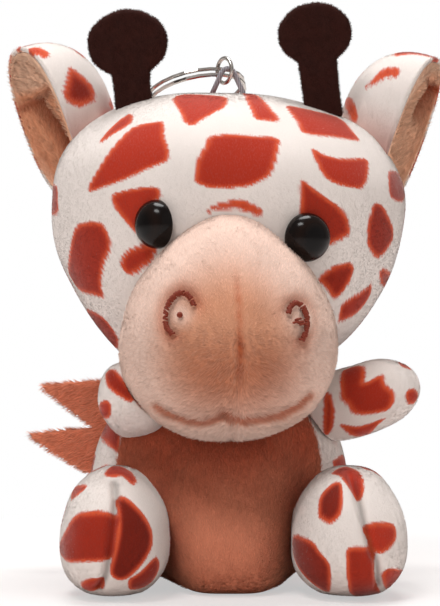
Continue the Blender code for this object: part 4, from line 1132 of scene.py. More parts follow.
# deep is painted shade: how much darker a listed spot is drawn
earCoats = {
    "left": {"seed": 13, "mapSize": 14.0, "rearFrom": 0.86, "spacing": 8.5, "gap": 2.8, "deep": {1: 0.3},
        "spots": (
        ((-0.54, 0.41), (-0.47, 0.46), (-0.35, 0.56), (-0.26, 0.56), (-0.20, 0.53), (-0.21, 0.46),
         (-0.32, 0.46), (-0.42, 0.43)),
        ((-0.93, 0.45), (-0.76, 0.39), (-0.64, 0.27), (-0.60, 0.15), (-0.63, 0.10), (-0.78, 0.27)),
    )},
    "right": {"seed": 11, "mapSize": 14.0, "rearFrom": 0.86, "spacing": 8.5, "gap": 2.8,
        "deep": {1: 0.8, 3: 1.0}, "spots": (
        ((-0.09, 0.62), (-0.06, 0.72), (0.01, 0.73), (0.09, 0.68), (0.15, 0.61), (0.12, 0.55), (0.07, 0.57),
         (0.01, 0.59)),
        ((0.35, 0.48), (0.41, 0.47), (0.57, 0.38), (0.62, 0.27), (0.57, 0.20), (0.45, 0.15), (0.35, 0.17),
         (0.30, 0.23), (0.32, 0.35)),
        ((0.96, 0.38), (1.03, 0.40), (1.08, 0.35), (1.05, 0.27), (0.90, 0.20), (0.84, 0.25)),
        ((0.38, -0.18), (0.43, -0.15), (0.51, -0.13), (0.59, -0.13), (0.56, -0.21), (0.46, -0.26),
         (0.39, -0.24)),
    )},
}
# where each lining's groove, ridge and fold lie; warm sets painted shade low on the lining and pale a
# painted light over all of it
earFill = {
    "left": {"groove": -0.55, "slant": 0.0, "low": 0.05, "ridge": 0.4, "crease": 0.7, "paintedWarmShade": 0.0,
        "pale": 0.3},
    "right": {"groove": -0.4, "slant": 0.7, "low": -0.9, "ridge": -0.85, "crease": 0.35, "paintedWarmShade": 0.12,
        "pale": 0.1},
}
earPile = {**shortPile, "length": 0.6, "comb": (0, 0, 1)}
liningPile = {
    **shortPile, "length": 1.2, "density": 9.0, "width": 0.18, "lean": 48.0, "stray": 0.34, "tuft": 0.22,
    "tuftSize": 1.0, "glint": 0.12, "comb": (0, 0, 1)
}


def earForm(side, shrink=0.0):
    sign = sides[side]
    leant = turnAbout("Y", sign * ear["lean"]) @ turnAbout("X", ear["nod"])
    turn = leant @ turnAbout("Z", sign * ear["turn"][side])
    return formOf(
        ear["place"][side], ear["width"] - shrink, ear["depth"] - shrink, ear["depth"] - shrink,
        ear["half"] - shrink, ear["half"] - shrink, ear["fullness"], turn=turn,
    )


def bowl(name, outer, inner, rows, columns):
    # a closed shell between two half forms that share a rim
    a = np.linspace(-math.pi / 2, math.pi / 2, columns)
    b = np.linspace(-math.pi / 2, math.pi / 2, rows)[1:-1]
    b, a = (g.ravel() for g in np.meshgrid(b, a, indexing="ij"))
    ways = np.stack([np.sin(a) * np.cos(b), np.cos(a) * np.cos(b), np.sin(b)], 1)
    poles = np.array([[0, 0, -1.0], [0, 0, 1.0]])
    points = np.vstack([formPoints(f, np.vstack([ways, poles])) for f in (outer, inner)])
    size = len(ways) + 2
    lines = rows - 2
    faces = []
    for layer, flip in ((0, False), (size, True)):
        for r in range(lines - 1):
            for k in range(columns - 1):
                p = layer + r * columns + k
                quad = [p, p + columns, p + columns + 1, p + 1]
                faces.append(quad[::-1] if flip else quad)
        for k in range(columns - 1):
            low, high = layer + size - 2, layer + size - 1
            end = layer + (lines - 1) * columns + k
            bottom, top = [low, layer + k, layer + k + 1], [high, end + 1, end]
            faces.append(bottom[::-1] if flip else bottom)
            faces.append(top[::-1] if flip else top)
    for r in range(lines - 1):
        for k in (0, columns - 1):
            p, q = r * columns + k, (r + 1) * columns + k
            quad = [p, size + p, size + q, q]
            faces.append(quad[::-1] if k else quad)
    for pole, row in ((size - 2, 0), (size - 1, lines - 1)):
        for k in (0, columns - 1):
            p = row * columns + k
            tri = [pole, size + pole, size + p, p]
            faces.append(tri if (k == 0) == (row > 0) else tri[::-1])
    mesh = meshFrom(name, points, faces)
    fixed = bmesh.new()
    fixed.from_mesh(mesh)
    bmesh.ops.recalc_face_normals(fixed, faces=fixed.faces)
    fixed.to_mesh(mesh)
    fixed.free()
    return mesh


def inEar(side, points):
    # places in an ear: across its opening from the far rim to the near one, and up
    local = inForm(earForm(side), points)
    return local, -sides[side] * local[:, 0] / ear["width"], local[:, 2] / ear["half"]


def grooveShare(side, across, up):
    fill = earFill[side]
    middle = fill["groove"] + fill["slant"] * np.clip(fill["crease"] - up, 0, 0.8)
    return (
        np.exp(-(((across - middle) / 0.22) ** 2)) * smoothStep(fill["low"], fill["low"] + 0.3, up)
        * smoothStep(fill["crease"] + 0.05, fill["crease"] - 0.2, up)
    )


def creaseAcross(side, across, up):
    return (
        np.exp(-(((up - earFill[side]["crease"] - 0.12 * across) / 0.06) ** 2))
        * smoothStep(0.75, 0.2, across)
    )


def earPrintAndPaintedShade(side, points):
    # painted reflected light and shade: the low part of the outside is tinted with the orange rim colour
    # and darkened, for the warm light of the head beside it
    found = printShares(*printDepth(earForm(side), points, earCoats[side]))
    _, across, up = inEar(side, points)
    paintedWarmShade = smoothStep(0.35, -0.35, up) * smoothStep(0.0, 0.7, across) * 0.5 * (1 - found["print"])
    return {**found, "rim": found["rim"] + paintedWarmShade, "deep": found["deep"] + paintedWarmShade * 1.1}


def plumpLining(side, points):
    # the inner face comes forward over its thin filling, with a groove, a fold across and a fuller top
    local, across, up = inEar(side, points)
    deep = (
        0.16 + 0.25 * smoothStep(0.0, 0.7, across) + 0.42 * grooveShare(side, across, up)
        + 0.14 * creaseAcross(side, across, up)
    )
    ridge = np.exp(-(((across - earFill[side]["ridge"]) / 0.3) ** 2)) * np.clip(1 - up**2, 0, 1)
    lobe = np.exp(-(((up - 0.68) / 0.2) ** 2)) * np.clip(1 - across**2, 0, 1)
    inside = np.clip(1 - np.abs(across) ** 3, 0, 1)
    local[:, 1] = local[:, 1] * np.clip(deep, 0, 1) - (ridge * 0.9 + lobe * 0.9) * inside
    form = earForm(side)
    return local @ form["turn"].T + form["place"]


def liningPaintedShading(side, points):
    # painted shade: warm and darker in the groove, the fold across and the lower part; painted light: pale
    # on the top lobe, round the edge and, for one ear, over the whole lining
    _, across, up = inEar(side, points)
    groove = grooveShare(side, across, up)
    fold = creaseAcross(side, across, up)
    lobe = smoothStep(earFill[side]["crease"], earFill[side]["crease"] + 0.15, up)
    edge = smoothStep(0.72, 0.95, np.hypot(across, up))
    fill = earFill[side]
    lower = smoothStep(0.4, 0.1, up) + smoothStep(0.0, -0.8, up)
    paintedWarmShade = np.clip(groove * 0.9 + fold * 0.5 + fill["paintedWarmShade"] * lower, 0, 1)
    pale = np.maximum.reduce([lobe * 0.6, edge * 0.7, np.full(len(up), fill["pale"])]) * (1 - paintedWarmShade)
    return {"print": paintedWarmShade, "rim": np.clip(pale, 0, 1), "deep": np.clip(groove * 0.5 + fold * 0.2, 0, 1)}


def makeEars():
    clear = grown(head["form"], 0.0)
    for side, sign in sides.items():
        bodyName = f"ear_{side}"
        shell = bowl(
            f"{bodyName}_back_skin", earForm(side, 0.3), earForm(side, ear["layer"] + 0.15), ear["along"],
            ear["across"]
        )
        setShares(shell, **earPrintAndPaintedShade(side, readPoints(shell)))
        back = addPiece(f"{bodyName}_back_skin", shell, bodyName, coatPlush)
        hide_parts(f"{bodyName}_back")
        lined = bowl(
            f"{bodyName}_lining_skin", earForm(side, ear["layer"] + ear["gap"]),
            earForm(side, ear["layer"] * 2 + ear["gap"]),
            ear["along"], ear["across"],
        )
        points = readPoints(lined)
        inner = np.arange(len(points)) >= len(points) // 2
        points[inner] = plumpLining(side, points[inner])
        movePoints(lined, points)
        lined.update()
        setShares(lined, **liningPaintedShading(side, points))
        lining = addPiece(f"{bodyName}_lining_skin", lined, bodyName, liningPlush)
        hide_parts(f"{bodyName}_lining")
        middle = earForm(side, ear["layer"])
        growPile(
            f"{bodyName}_back_pile", back, {**earPile, "seed": 60 + sign}, bodyName, coatPlush,
            sharesAt=lambda p, jitter: earPrintAndPaintedShade(side, p + jitter[:, None]),
            keep=lambda p: (levelOf(clear, p) > 1) & (levelOf(middle, p) > 1),
        )
        inside = earForm(side, ear["layer"] + ear["gap"] + 0.3)
        growPile(
            f"{bodyName}_lining_pile", lining, {**liningPile, "seed": 64 + sign}, bodyName, liningPlush,
            sharesAt=lambda p, jitter: liningPaintedShading(side, p),
            keep=lambda p: (levelOf(clear, p) > 1) & (levelOf(inside, p) < 1),
        )


makeEars()
print("ears made")

# flat felt and plush shapes: a rounded sheet cut to an outline

def cutSheet(name, outline, thickness, fineness, place, turn, rounding):
    curve = bpy.data.curves.new(name, "CURVE")
    curve.dimensions = "2D"
    curve.fill_mode = "BOTH"
    curve.extrude = (thickness / 2 - rounding) * mm
    curve.bevel_depth = rounding * mm
    curve.bevel_resolution = 3
    curve.offset = -rounding * mm
    line = curve.splines.new("POLY")
    line.points.add(len(outline) - 1)
    for corner, (x, y) in zip(line.points, outline):
        corner.co = (x * mm, y * mm, 0, 1)
    line.use_cyclic_u = True
    guide = bpy.data.objects.new(name, curve)
    bpy.context.scene.collection.objects.link(guide)
    graph = bpy.context.evaluated_depsgraph_get()
    mesh = bpy.data.meshes.new_from_object(guide.evaluated_get(graph))
    bpy.data.objects.remove(guide, do_unlink=True)
    solid = bmesh.new()
    solid.from_mesh(mesh)
    bmesh.ops.remove_doubles(solid, verts=solid.verts, dist=0.01 * mm)
    solid.to_mesh(mesh)
    solid.free()
    mesh.materials.clear()
    rough = bpy.data.objects.new(name, mesh)
    bpy.context.scene.collection.objects.link(rough)
    remesh = rough.modifiers.new("even", "REMESH")
    remesh.mode = "VOXEL"
    remesh.voxel_size = fineness * mm
    remesh.use_smooth_shade = True
    smooth = rough.modifiers.new("soft", "SMOOTH")
    smooth.iterations = 3
    graph = bpy.context.evaluated_depsgraph_get()
    even = bpy.data.meshes.new_from_object(rough.evaluated_get(graph))
    bpy.data.objects.remove(rough, do_unlink=True)
    even.name = name
    even.transform(Matrix.Translation(Vector(place) * mm) @ Matrix(turn.tolist()).to_4x4())
    even.materials.clear()
    return even


def arcPoints(centre, radius, start, end, steps):
    angles = np.linspace(start, end, steps + 1)
    return np.stack([centre[0] + radius * np.cos(angles), centre[1] + radius * np.sin(angles)], 1)


horn = {
    "radius": {"left": 6.8, "right": 7.4}, "height": {"left": 19.4, "right": 16.9}, "stem": 7.2,
    "thickness": 2.6,
    "rounding": 0.9, "flatten": 0.84, "spread": 17.6, "forward": -8.0, "lean": 6.0, "root": 2.2,
    "waist": 0.93,
}
hornPile = {
    **shortPile, "density": 16.0, "length": 0.42, "width": 0.13, "lean": 35.0, "leanSpread": 22.0,
    "stray": 1.0, "swirl": 0.8,
    "swirlSize": 2.0, "tuft": 0.1, "tuftSize": 0.6, "glint": 0.3, "seed": 71,
}


def makeHorns():
    clear = grown(head["form"], 0.0)
    stand = turnAbout("Y", -horn["lean"]) @ turnAbout("X", 90)
    for side, sign in sides.items():
        radius, half = horn["radius"][side], horn["stem"] / 2
        neck = math.asin(half / radius)
        outline = arcPoints((0, 0), radius, neck - math.pi / 2, math.pi * 1.5 - neck, 72)
        outline[:, 1] = horn["height"][side] + (outline[:, 1] - radius) * horn["flatten"]
        waist = horn["waist"]
        outline = np.vstack([outline, [
            (-half * waist, 3.0), (-half * waist, 1.5), (-half, -horn["root"]), (half, -horn["root"]),
            (half * waist, 1.5), (half * waist, 3.0),
        ]])
        place = seatOn(head["form"], (sign * horn["spread"], horn["forward"], 70.5), (0, 0, 1))[0][0]
        mesh = cutSheet(
            f"horn_{side}_felt", outline, horn["thickness"], 0.3, place, stand, horn["rounding"]
        )
        points, normals = readPoints(mesh), readPoints(mesh, "normal")
        points += normals * (softNoise(points, 2.4, 3.0 * sign) * 0.12)[:, None]
        movePoints(mesh, points)
        piece = addPiece(f"horn_{side}_felt", mesh, f"horn_{side}", hornFelt)
        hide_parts(f"horn_{side}")
        growPile(
            f"horn_{side}_fuzz", piece, {**hornPile, "seed": 71 + sign}, f"horn_{side}", hornFelt,
            keep=lambda p: levelOf(clear, p) > 1,
        )


makeHorns()
print("horns made")

# eyes: glossy domes with a thin brown ring inside

eye = {
    "radius": 4.4, "dome": 3.6, "rim": 0.5, "gap": 0.3, "spread": {"left": 13.75, "right": 12.6},
    "height": {"left": 63.8, "right": 66.1}, "shank": 1.2, "shankLength": 7.0,
    "tilt": {"left": 12.0, "right": 38.0}, "sink": {"left": 0.3, "right": 1.3},
}
eyeLook = {
    "centre": (9, 6, 6), "ring": (26, 15, 11), "edge": (14, 9, 8), "smoothest": 0.13, "roughest": 0.2
}


def makeEyeMaterial():
    material, shader, add = plainShader("eyeGloss")
    share = add("ShaderNodeAttribute", (-700, 0), attribute_name="ring").outputs["Fac"]
    ramp = add("ShaderNodeValToRGB", (-500, 0), {0: share})
    stops = ramp.color_ramp.elements
    stops[0].position, stops[0].color = 0.42, (*linear(eyeLook["centre"]), 1)
    stops[1].position, stops[1].color = 0.95, (*linear(eyeLook["edge"]), 1)
    middle = stops.new(0.72)
    middle.color = (*linear(eyeLook["ring"]), 1)
    material.node_tree.links.new(ramp.outputs["Color"], shader.inputs["Base Color"])
    place = add("ShaderNodeTexCoord", (-700, -260)).outputs["Object"]
    fine = add(
        "ShaderNodeTexNoise", (-500, -260), {"Vector": place, "Scale": 900.0, "Detail": 2.0}
    ).outputs["Fac"]
    rough = add(
        "ShaderNodeMapRange", (-300, -260), {0: fine, 3: eyeLook["smoothest"], 4: eyeLook["roughest"]}
    ).outputs[0]
    material.node_tree.links.new(rough, shader.inputs["Roughness"])
    shader.inputs["Specular IOR Level"].default_value = 0.16
    return material


def spun(name, profile, turn, place, steps=72):
    # a solid of revolution from (radius, height) points, with both ends on the axis
    profile = np.array(profile, float)
    ring = profile[1:-1]
    angles = np.arange(steps) * math.tau / steps
    body = np.stack([
        ring[:, 0][:, None] * np.cos(angles), ring[:, 0][:, None] * np.sin(angles),
        np.repeat(ring[:, 1][:, None], steps, 1),
    ], 2).reshape(-1, 3)
    ends = np.array([[0, 0, profile[0, 1]], [0, 0, profile[-1, 1]]])
    points = np.vstack([body, ends])
    rows, top, bottom = len(ring), len(body), len(body) + 1
    faces = []
    for r in range(rows - 1):
        for k in range(steps):
            after = (k + 1) % steps
            faces.append([r * steps + k, (r + 1) * steps + k, (r + 1) * steps + after, r * steps + after])
    for k in range(steps):
        after = (k + 1) % steps
        faces.append([top, k, after])
        faces.append([bottom, (rows - 1) * steps + after, (rows - 1) * steps + k])
    mesh = meshFrom(name, points @ turn.T + np.array(place), faces)
    return mesh, np.hypot(points[:, 0], points[:, 1])


def makeEyes():
    gloss = makeEyeMaterial()
    for side, sign in sides.items():
        seat, normal = seatOn(
            head["form"], (sign * eye["spread"][side], 0, eye["height"][side]), (0, -1, 0)
        )
        seat = seat - normal * eye["sink"][side]
        # turned outward a little, as the soft face lets it
        facing = turnAbout("Z", sign * eye["tilt"][side]) @ normal[0]
        base = eye["gap"] + eye["rim"]
        angles = np.linspace(math.pi / 2, 0, 22)
        dome = [(eye["radius"] * math.cos(t), base + eye["dome"] * math.sin(t)) for t in angles]
        dome[0] = (0.0, dome[0][1])
        lower = [
            (eye["radius"] + 0.02, base * 0.6), (eye["radius"] * 0.97, eye["gap"]),
            (eye["shank"], eye["gap"]), (eye["shank"], -eye["shankLength"]), (0.0, -eye["shankLength"]),
        ]
        mesh, away = spun(f"eye_{side}_dome", dome + lower, standAlong(facing), seat[0])
        setShares(mesh, ring=away / eye["radius"])
        piece = addPiece(f"eye_{side}_dome", mesh, "head", gloss)
        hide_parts(f"eye_{side}")


makeEyes()
print("eyes made")

# threads, cords and wires: round lines with rounded ends

def tubes(name, lines, radius, around=8, closed=False):
    points, faces = [], []
    for line in lines:
        line = np.array(line, float)
        if closed:
            ahead, behind = np.roll(line, -1, 0), np.roll(line, 1, 0)
        else:
            ahead, behind = np.vstack([line[1:], line[-1:]]), np.vstack([line[:1], line[:-1]])
        along = unit(ahead - behind)
        side = unit(np.cross(along[0], [0.31, 0.22, 0.92]))
        first = len(points)
        for place, way in zip(line, along):
            side = unit(side - way * (side @ way))
            other = np.cross(way, side)
            for k in range(around):
                angle = math.tau * k / around
                points.append(place + (side * math.cos(angle) + other * math.sin(angle)) * radius)
        rows = len(line)
        for r in range(rows if closed else rows - 1):
            for k in range(around):
                p, q = first + r * around, first + (r + 1) % rows * around
                faces.append([p + k, p + (k + 1) % around, q + (k + 1) % around, q + k])
        if not closed:
            for end, row, way in ((0, 0, -along[0]), (1, rows - 1, along[-1])):
                points.append(line[row] + way * radius * 0.7)
                tip = len(points) - 1
                start = first + row * around
                for k in range(around):
                    pair = [start + k, start + (k + 1) % around]
                    faces.append([tip, *(pair if end else pair[::-1])])
    return meshFrom(name, np.array(points), faces)


def throughPoints(points, steps):
    points = np.array(points, float)
    ends = np.vstack([points[:1] * 2 - points[1:2], points, points[-1:] * 2 - points[-2:-1]])
    line = []
    for a, b, c, d in zip(ends, ends[1:], ends[2:], ends[3:]):
        for n in range(steps):
            t = n / steps
            line.append(
                (b * 2 + (c - a) * t + (a * 2 - b * 5 + c * 4 - d) * t**2
                 + (b * 3 - a - c * 3 + d) * t**3) / 2
            )
    return np.array(line + [points[-1]])


thread = {
    "radius": 0.22, "step": 0.3, "width": 0.75, "lift": -0.2, "missed": 0.06, "mouthRadius": 0.2,
    "mouthLift": -1.35,
}
threadLook = {
    "colour": (138, 60, 40), "dark": (110, 36, 22), "roughness": 0.6, "scale": 2600.0, "detail": 3.0,
    "relief": 0.05,
}


def makeThreadMaterial():
    material, shader, _, _ = twoToneMaterial("embroideryThread", threadLook)
    shader.inputs["Specular IOR Level"].default_value = 0.2
    return material


def onMuzzle(marks, lift):
    marks = np.atleast_2d(marks)
    near = np.stack([marks[:, 0], np.full(len(marks), -30.0), marks[:, 1]], 1)
    seat, normal = seatOn(muzzle["form"], near, np.broadcast_to([0, -1.0, 0], near.shape))
    return seat + normal * lift, normal


def makeEmbroidery():
    brown = makeThreadMaterial()
    rng = np.random.default_rng(81)
    for side, marks in nostrils.items():
        line = throughPoints([(*m, 0) for m in marks], 12)[:, :2]
        gaps = np.r_[0, np.cumsum(np.linalg.norm(np.diff(line, axis=0), axis=1))]
        places = np.arange(0, gaps[-1], thread["step"])
        centre = np.stack([np.interp(places, gaps, line[:, k]) for k in (0, 1)], 1)
        way = unit(np.gradient(centre, axis=0))
        across = np.stack([-way[:, 1], way[:, 0]], 1)
        stitches = []
        for spot, sideways, forward in zip(centre, across, way):
            if rng.random() < thread["missed"]:
                continue
            half = thread["width"] / 2 * (0.8 + 0.4 * rng.random())
            slant = forward * (rng.random() - 0.5) * 0.5
            marks2 = [spot - sideways * half - slant, spot, spot + sideways * half + slant]
            points, normal = onMuzzle(np.array(marks2), thread["lift"])
            points += normal * np.array([-0.15, 0.16, -0.15])[:, None]
            stitches.append(throughPoints(points, 3))
        if side == "right":
            for turn in np.radians((0, 40, 85, 130)):
                half = np.array([math.cos(turn), math.sin(turn)]) * 0.4
                points, normal = onMuzzle(
                    np.array([-8.4, 50.1]) + np.outer([-1, 0, 1], half), thread["lift"] + 0.4
                )
                stitches.append(throughPoints(points + normal * np.array([-0.2, 0.1, -0.2])[:, None], 3))
        else:
            for spot in ((11.9, 49.3), (12.3, 48.8), (12.7, 48.5), (11.5, 48.8)):
                points, normal = onMuzzle(
                    np.array([np.array(spot) - [0.5, 0.15], spot, np.array(spot) + [0.5, 0.1]]),
                    thread["lift"] + 0.4
                )
                stitches.append(throughPoints(points, 3))
        mesh = tubes(f"nostril_{side}_stitches", stitches, thread["radius"], 6)
        piece = addPiece(f"nostril_{side}_stitches", mesh, "head", brown)
        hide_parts(f"nostril_{side}")
    line, normal = onMuzzle(
        throughPoints([(*m, 0) for m in mouthLine[1:-1]], 6)[:, :2], thread["mouthLift"]
    )
    piece = addPiece(
        "mouth_thread", tubes("mouth_thread", [line], thread["mouthRadius"], 8), "head", brown,
    )
    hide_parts("mouth_stitching")


makeEmbroidery()
print("embroidery made")

# mane and tail: longer red pile

mane = {
    "thickness": 1.4, "rounding": 0.5, "root": (-6.0, 10.0, 36.3), "pitch": 9.4, "flaps": (30.8, 33.2),
    "notch": 20.0, "drop": 0.8, "turn": 6.0,
    "cut": (0.0332, 0.0188), "cutArea": 0.0005,  # in metres
}
headMane = {"flap": 6.0, "notch": 1.2, "root": 2.0, "top": 84.5, "bottom": 52.5}
manePile = {
    **shortPile, "density": 9.0, "length": 1.4, "width": 0.2, "lean": 60.0, "leanSpread": 7.0, "stray": 0.2,
    "tuft": 0.3, "tuftSize": 1.4, "glint": 0.1,
    "seed": 91,
}
tail = {
    "root": (-1.7, 22.27, 10.567), "slope": 22.0, "stem": 1.3, "tuft": 2.4, "stemLength": 8.0,
    "tuftLength": 7.4
}


def makeManes():
    outline = [(0.0, 0.0)]
    for n, flap in enumerate(mane["flaps"]):
        outline += [
            (flap * 0.7, -n * mane["pitch"] + 0.2), (flap, -n * mane["pitch"] - mane["drop"]),
            (flap * 0.86, -(n + 0.45) * mane["pitch"]), (mane["notch"], -(n + 1) * mane["pitch"] + 0.4),
        ]
    outline.append((0.0, -2 * mane["pitch"] + 0.4))
    turn = turnAbout("Z", 180 - mane["turn"]) @ turnAbout("X", 90)
    mesh = cutSheet(
        "mane_body_skin", outline, mane["thickness"], 0.35, mane["root"], turn, mane["rounding"]
    )
    points = readPoints(mesh)
    points = pressedOut(points, grown(body["form"], 0.55), (-22.0, 30.0, 28.0))
    movePoints(mesh, points)
    piece = addPiece("mane_body_skin", mesh, "torso", manePlush)
    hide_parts("mane_body")
    beside = grown(body["form"], 0.5)
    growPile(
        "mane_body_pile", piece, {**manePile, "comb": (-1, 0.1, -0.45)}, "torso", manePlush,
        keep=lambda p: levelOf(beside, p) > 1,
    )

    heights = np.linspace(headMane["top"], headMane["bottom"], 25)
    seat, normal = seatOn(
        head["form"], np.stack([0 * heights, 0 * heights, heights], 1),
        np.broadcast_to([0, 1.0, 0], (25, 3))
    )
    wave = 0.5 - 0.5 * np.cos(np.linspace(0, 3 * math.tau, 25))
    reach = headMane["notch"] + (headMane["flap"] - headMane["notch"]) * wave
    outside = (seat + normal * reach[:, None])[:, 1:]
    inside = (seat - normal * headMane["root"])[:, 1:]
    upright = turnAbout("Z", 90) @ turnAbout("X", 90)
    mesh = cutSheet(
        "mane_head_skin", np.vstack([outside, inside[::-1]]), mane["thickness"], 0.35, (0, 0, 0), upright,
        mane["rounding"]
    )
    piece = addPiece("mane_head_skin", mesh, "head", manePlush)
    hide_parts("mane_head")
    clear = grown(head["form"], 0.2)
    growPile(
        "mane_head_pile", piece, {**manePile, "seed": 93, "comb": (0, 1, -0.7)}, "head", manePlush,
        keep=lambda p: levelOf(clear, p) > 1,
    )


def makeTail():
    slope = math.radians(tail["slope"])
    way = np.array([0, math.cos(slope), -math.sin(slope)])
    end = tail["stemLength"] + tail["tuftLength"]
    profile = [(0, end)]
    for t in np.linspace(0.12, 0.88, 14):
        profile.append((tail["tuft"] * math.sin(math.pi * t) ** 0.8, end - tail["tuftLength"] * t))
    profile += [(tail["stem"], tail["stemLength"] * s) for s in (0.98, 0.8, 0.6, 0.4, 0.2, 0.05)]
    profile += [(tail["stem"], -1.2), (tail["stem"] * 0.8, -2.8), (0, -3.2)]
    mesh, _ = spun("tail_skin", profile, standAlong(way), tail["root"], 28)
    piece = addPiece("tail_skin", mesh, "tail", manePlush)
    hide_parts("tail")
    clear = grown(body["form"], 0.3)

    def lengthAt(points):
        along = (points - np.array(tail["root"])) @ way
        return 0.45 + 0.75 * smoothStep(6, 10, along)

    growPile(
        "tail_pile", piece, {**manePile, "seed": 95, "density": 11.0, "lean": 50.0, "comb": tuple(way)},
        "tail", manePlush,
        keep=lambda p: levelOf(clear, p) > 1, lengthAt=lengthAt,
    )


makeManes()
makeTail()
print("mane and tail made")

# hanger: cord loop, jump ring and split ring

hanger = {
    "base": (0.0, 5.0, 91.748), "half": 3.0, "height": 5.0, "fold": 1.3, "cord": 0.5,
    "jumpCentre": (-0.637, 5.910, 96.45), "jumpNormal": (0.819152, 0.573576, 0), "jumpRadius": 2.4,
    "wire": 0.38,
}
steelLook = {
    "colour": (214, 212, 208), "dark": (176, 170, 164), "roughness": 0.22, "scale": 700.0, "detail": 4.0,
    "smoothest": 0.16, "roughest": 0.34,
}
cordLook = {
    "colour": (186, 184, 190), "dark": (118, 114, 122), "roughness": 0.55, "scale": 900.0, "detail": 2.0,
    "relief": 0.1,
}
washerLook = {
    "colour": (236, 234, 228), "dark": (214, 210, 204), "roughness": 0.45, "scale": 300.0, "detail": 3.0,
    "relief": 0.05,
}


def makeSteel():
    material, shader, add, wear = twoToneMaterial("platedSteel", steelLook)
    shader.inputs["Metallic"].default_value = 1.0
    rough = add(
        "ShaderNodeMapRange", (-400, -260), {0: wear, 3: steelLook["smoothest"], 4: steelLook["roughest"]}
    )
    material.node_tree.links.new(rough.outputs[0], shader.inputs["Roughness"])
    return material


def finishNode(name, material):
    # a better material on a solid that is shown as it was packed
    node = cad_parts[name]
    if not node.material_slots:
        node.data.materials.append(material)
    for place in node.material_slots:
        place.material = material


def makeHanger():
    steel = makeSteel()
    cord = twoToneMaterial("hangCord", cordLook, "ShaderNodeTexWave", Distortion=2.0)[0]
    washer = twoToneMaterial("washerPlastic", washerLook)[0]
    finishNode("split_ring", steel)
    for side in sides:
        finishNode(f"eye_washer_{side}", washer)
    base = np.array(hanger["base"])
    fold = arcPoints(
        (0, hanger["height"] - hanger["fold"]), hanger["fold"], math.radians(162), math.radians(18), 10
    )
    line = [
        base + (-hanger["half"], 0, 0.2), *[base + (x, 0, z) for x, z in fold],
        base + (hanger["half"], 0, 0.2)
    ]
    piece = addPiece(
        "hang_loop_cord", tubes("hang_loop_cord", [throughPoints(line, 3)], hanger["cord"], 12), "head",
        cord
    )
    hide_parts("hang_loop")
    normal = np.array(hanger["jumpNormal"])
    side = np.array([-normal[1], normal[0], 0])
    ring = [
        np.array(hanger["jumpCentre"]) + (side * math.cos(t) + np.array([0, 0,
            1.0]) * math.sin(t)) * hanger["jumpRadius"]
        for t in np.linspace(0, math.tau, 49)[:-1]
    ]
    piece = addPiece(
        "jump_ring_wire", tubes("jump_ring_wire", [ring], hanger["wire"], 12, closed=True), "jump_ring",
        steel
    )
    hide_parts("jump_ring")


makeHanger()
print("hanger made")

# floor, light and backdrop

light = {
    "world": 0.345, "worldTint": (1.0, 0.92, 0.88), "floor": (244, 240, 238),
    "glow": (0.5, 1.0), "glowReach": (0.045, 0.12),
    "lamps": {
        "keyLight": {"place": (-0.2, -0.42, 0.75), "size": (0.34, 0.2), "power": 2.75},
        "fillLight": {"place": (0.55, -0.45, 0.25), "size": (1.2, 1.0), "power": 0.5},
        "topLight": {"place": (0.0, 0.12, 0.75), "size": (0.44, 0.34), "power": 4.5},
    },
}


def addLamp(name, place, size, power):
    data = bpy.data.lights.new(name, "AREA")
    data.shape = "ELLIPSE"
    data.size, data.size_y = size
    data.energy = power
    lamp = bpy.data.objects.new(name, data)
    lamp.location = place
    lamp.rotation_euler = (Vector(place) - Vector((0, 0, 0.05))).to_track_quat("Z", "Y").to_euler()
    bpy.context.scene.collection.objects.link(lamp)


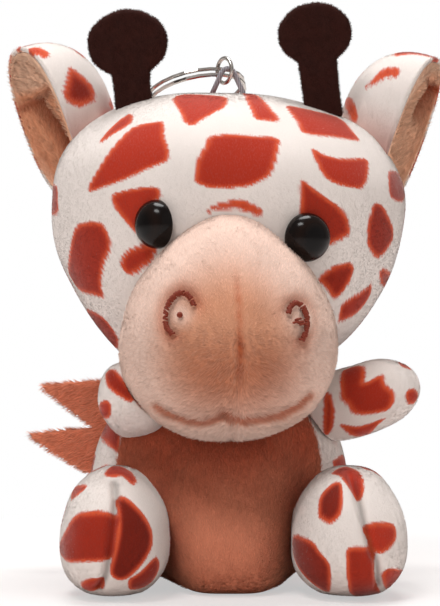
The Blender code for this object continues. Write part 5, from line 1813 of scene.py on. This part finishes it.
def addStage():
    mesh = bpy.data.meshes.new("floor")
    mesh.from_pydata([(-1.5, -1.5, 0), (1.5, -1.5, 0), (1.5, 1.5, 0), (-1.5, 1.5, 0)], [], [(0, 1, 2, 3)])
    floor = bpy.data.objects.new("floor", mesh)
    bpy.context.scene.collection.objects.link(floor)
    material, shader, add = plainShader("paleFloor", 0.9)
    place = add("ShaderNodeTexCoord", (-900, 0)).outputs["Object"]
    grain = add(
        "ShaderNodeTexNoise", (-700, 0), {"Vector": place, "Scale": 60.0, "Detail": 3.0}
    ).outputs["Fac"]
    value = add("ShaderNodeMapRange", (-520, 0), {0: grain, 3: 0.98, 4: 1.02}).outputs[0]
    tint = add(
        "ShaderNodeHueSaturation", (-340, 0), {"Value": value, "Color": (*linear(light["floor"]), 1)}
    ).outputs["Color"]
    material.node_tree.links.new(tint, shader.inputs["Base Color"])
    glow = add("ShaderNodeEmission", (0, -200), {"Color": (1, 1, 1, 1), "Strength": 1.0})
    paths = add("ShaderNodeLightPath", (-340, 300)).outputs
    away = add("ShaderNodeVectorMath", (-520, 300), {0: place}, operation="LENGTH").outputs["Value"]
    share = add("ShaderNodeMapRange", (-340, 480), {
        0: away, 1: light["glowReach"][0], 2: light["glowReach"][1], 3: light["glow"][0],
        4: light["glow"][1],
    }).outputs[0]
    seen = add(
        "ShaderNodeMath", (-160, 300), {0: paths["Is Camera Ray"], 1: share}, operation="MULTIPLY"
    ).outputs[0]
    mixed = add("ShaderNodeMixShader", (200, 0), {0: seen, 1: shader.outputs[0], 2: glow.outputs[0]})
    output = next(n for n in material.node_tree.nodes if n.type == "OUTPUT_MATERIAL")
    material.node_tree.links.new(mixed.outputs[0], output.inputs["Surface"])
    mesh.materials.append(material)

    world = bpy.data.worlds.new("studio")
    bpy.context.scene.world = world
    world.use_nodes = True
    tree = world.node_tree
    add = nodeSetter(tree)
    plain = tree.nodes["Background"]
    plain.inputs["Color"].default_value = (*light["worldTint"], 1)
    plain.inputs["Strength"].default_value = light["world"]
    white = add("ShaderNodeBackground", (-200, -200), {"Color": (1, 1, 1, 1), "Strength": 1.0})
    paths = add("ShaderNodeLightPath", (-600, 200)).outputs
    clear = add(
        "ShaderNodeMath", (-400, 200), {0: paths["Is Camera Ray"], 1: paths["Is Transmission Ray"]},
        operation="MAXIMUM"
    ).outputs[0]
    mixed = add("ShaderNodeMixShader", (0, 0), {0: clear, 1: plain.outputs[0], 2: white.outputs[0]})
    tree.links.new(mixed.outputs[0], tree.nodes["World Output"].inputs["Surface"])
    for name, lamp in light["lamps"].items():
        addLamp(name, **lamp)


addStage()
bpy.context.scene.view_settings.view_transform = "Standard"
print("stage set")
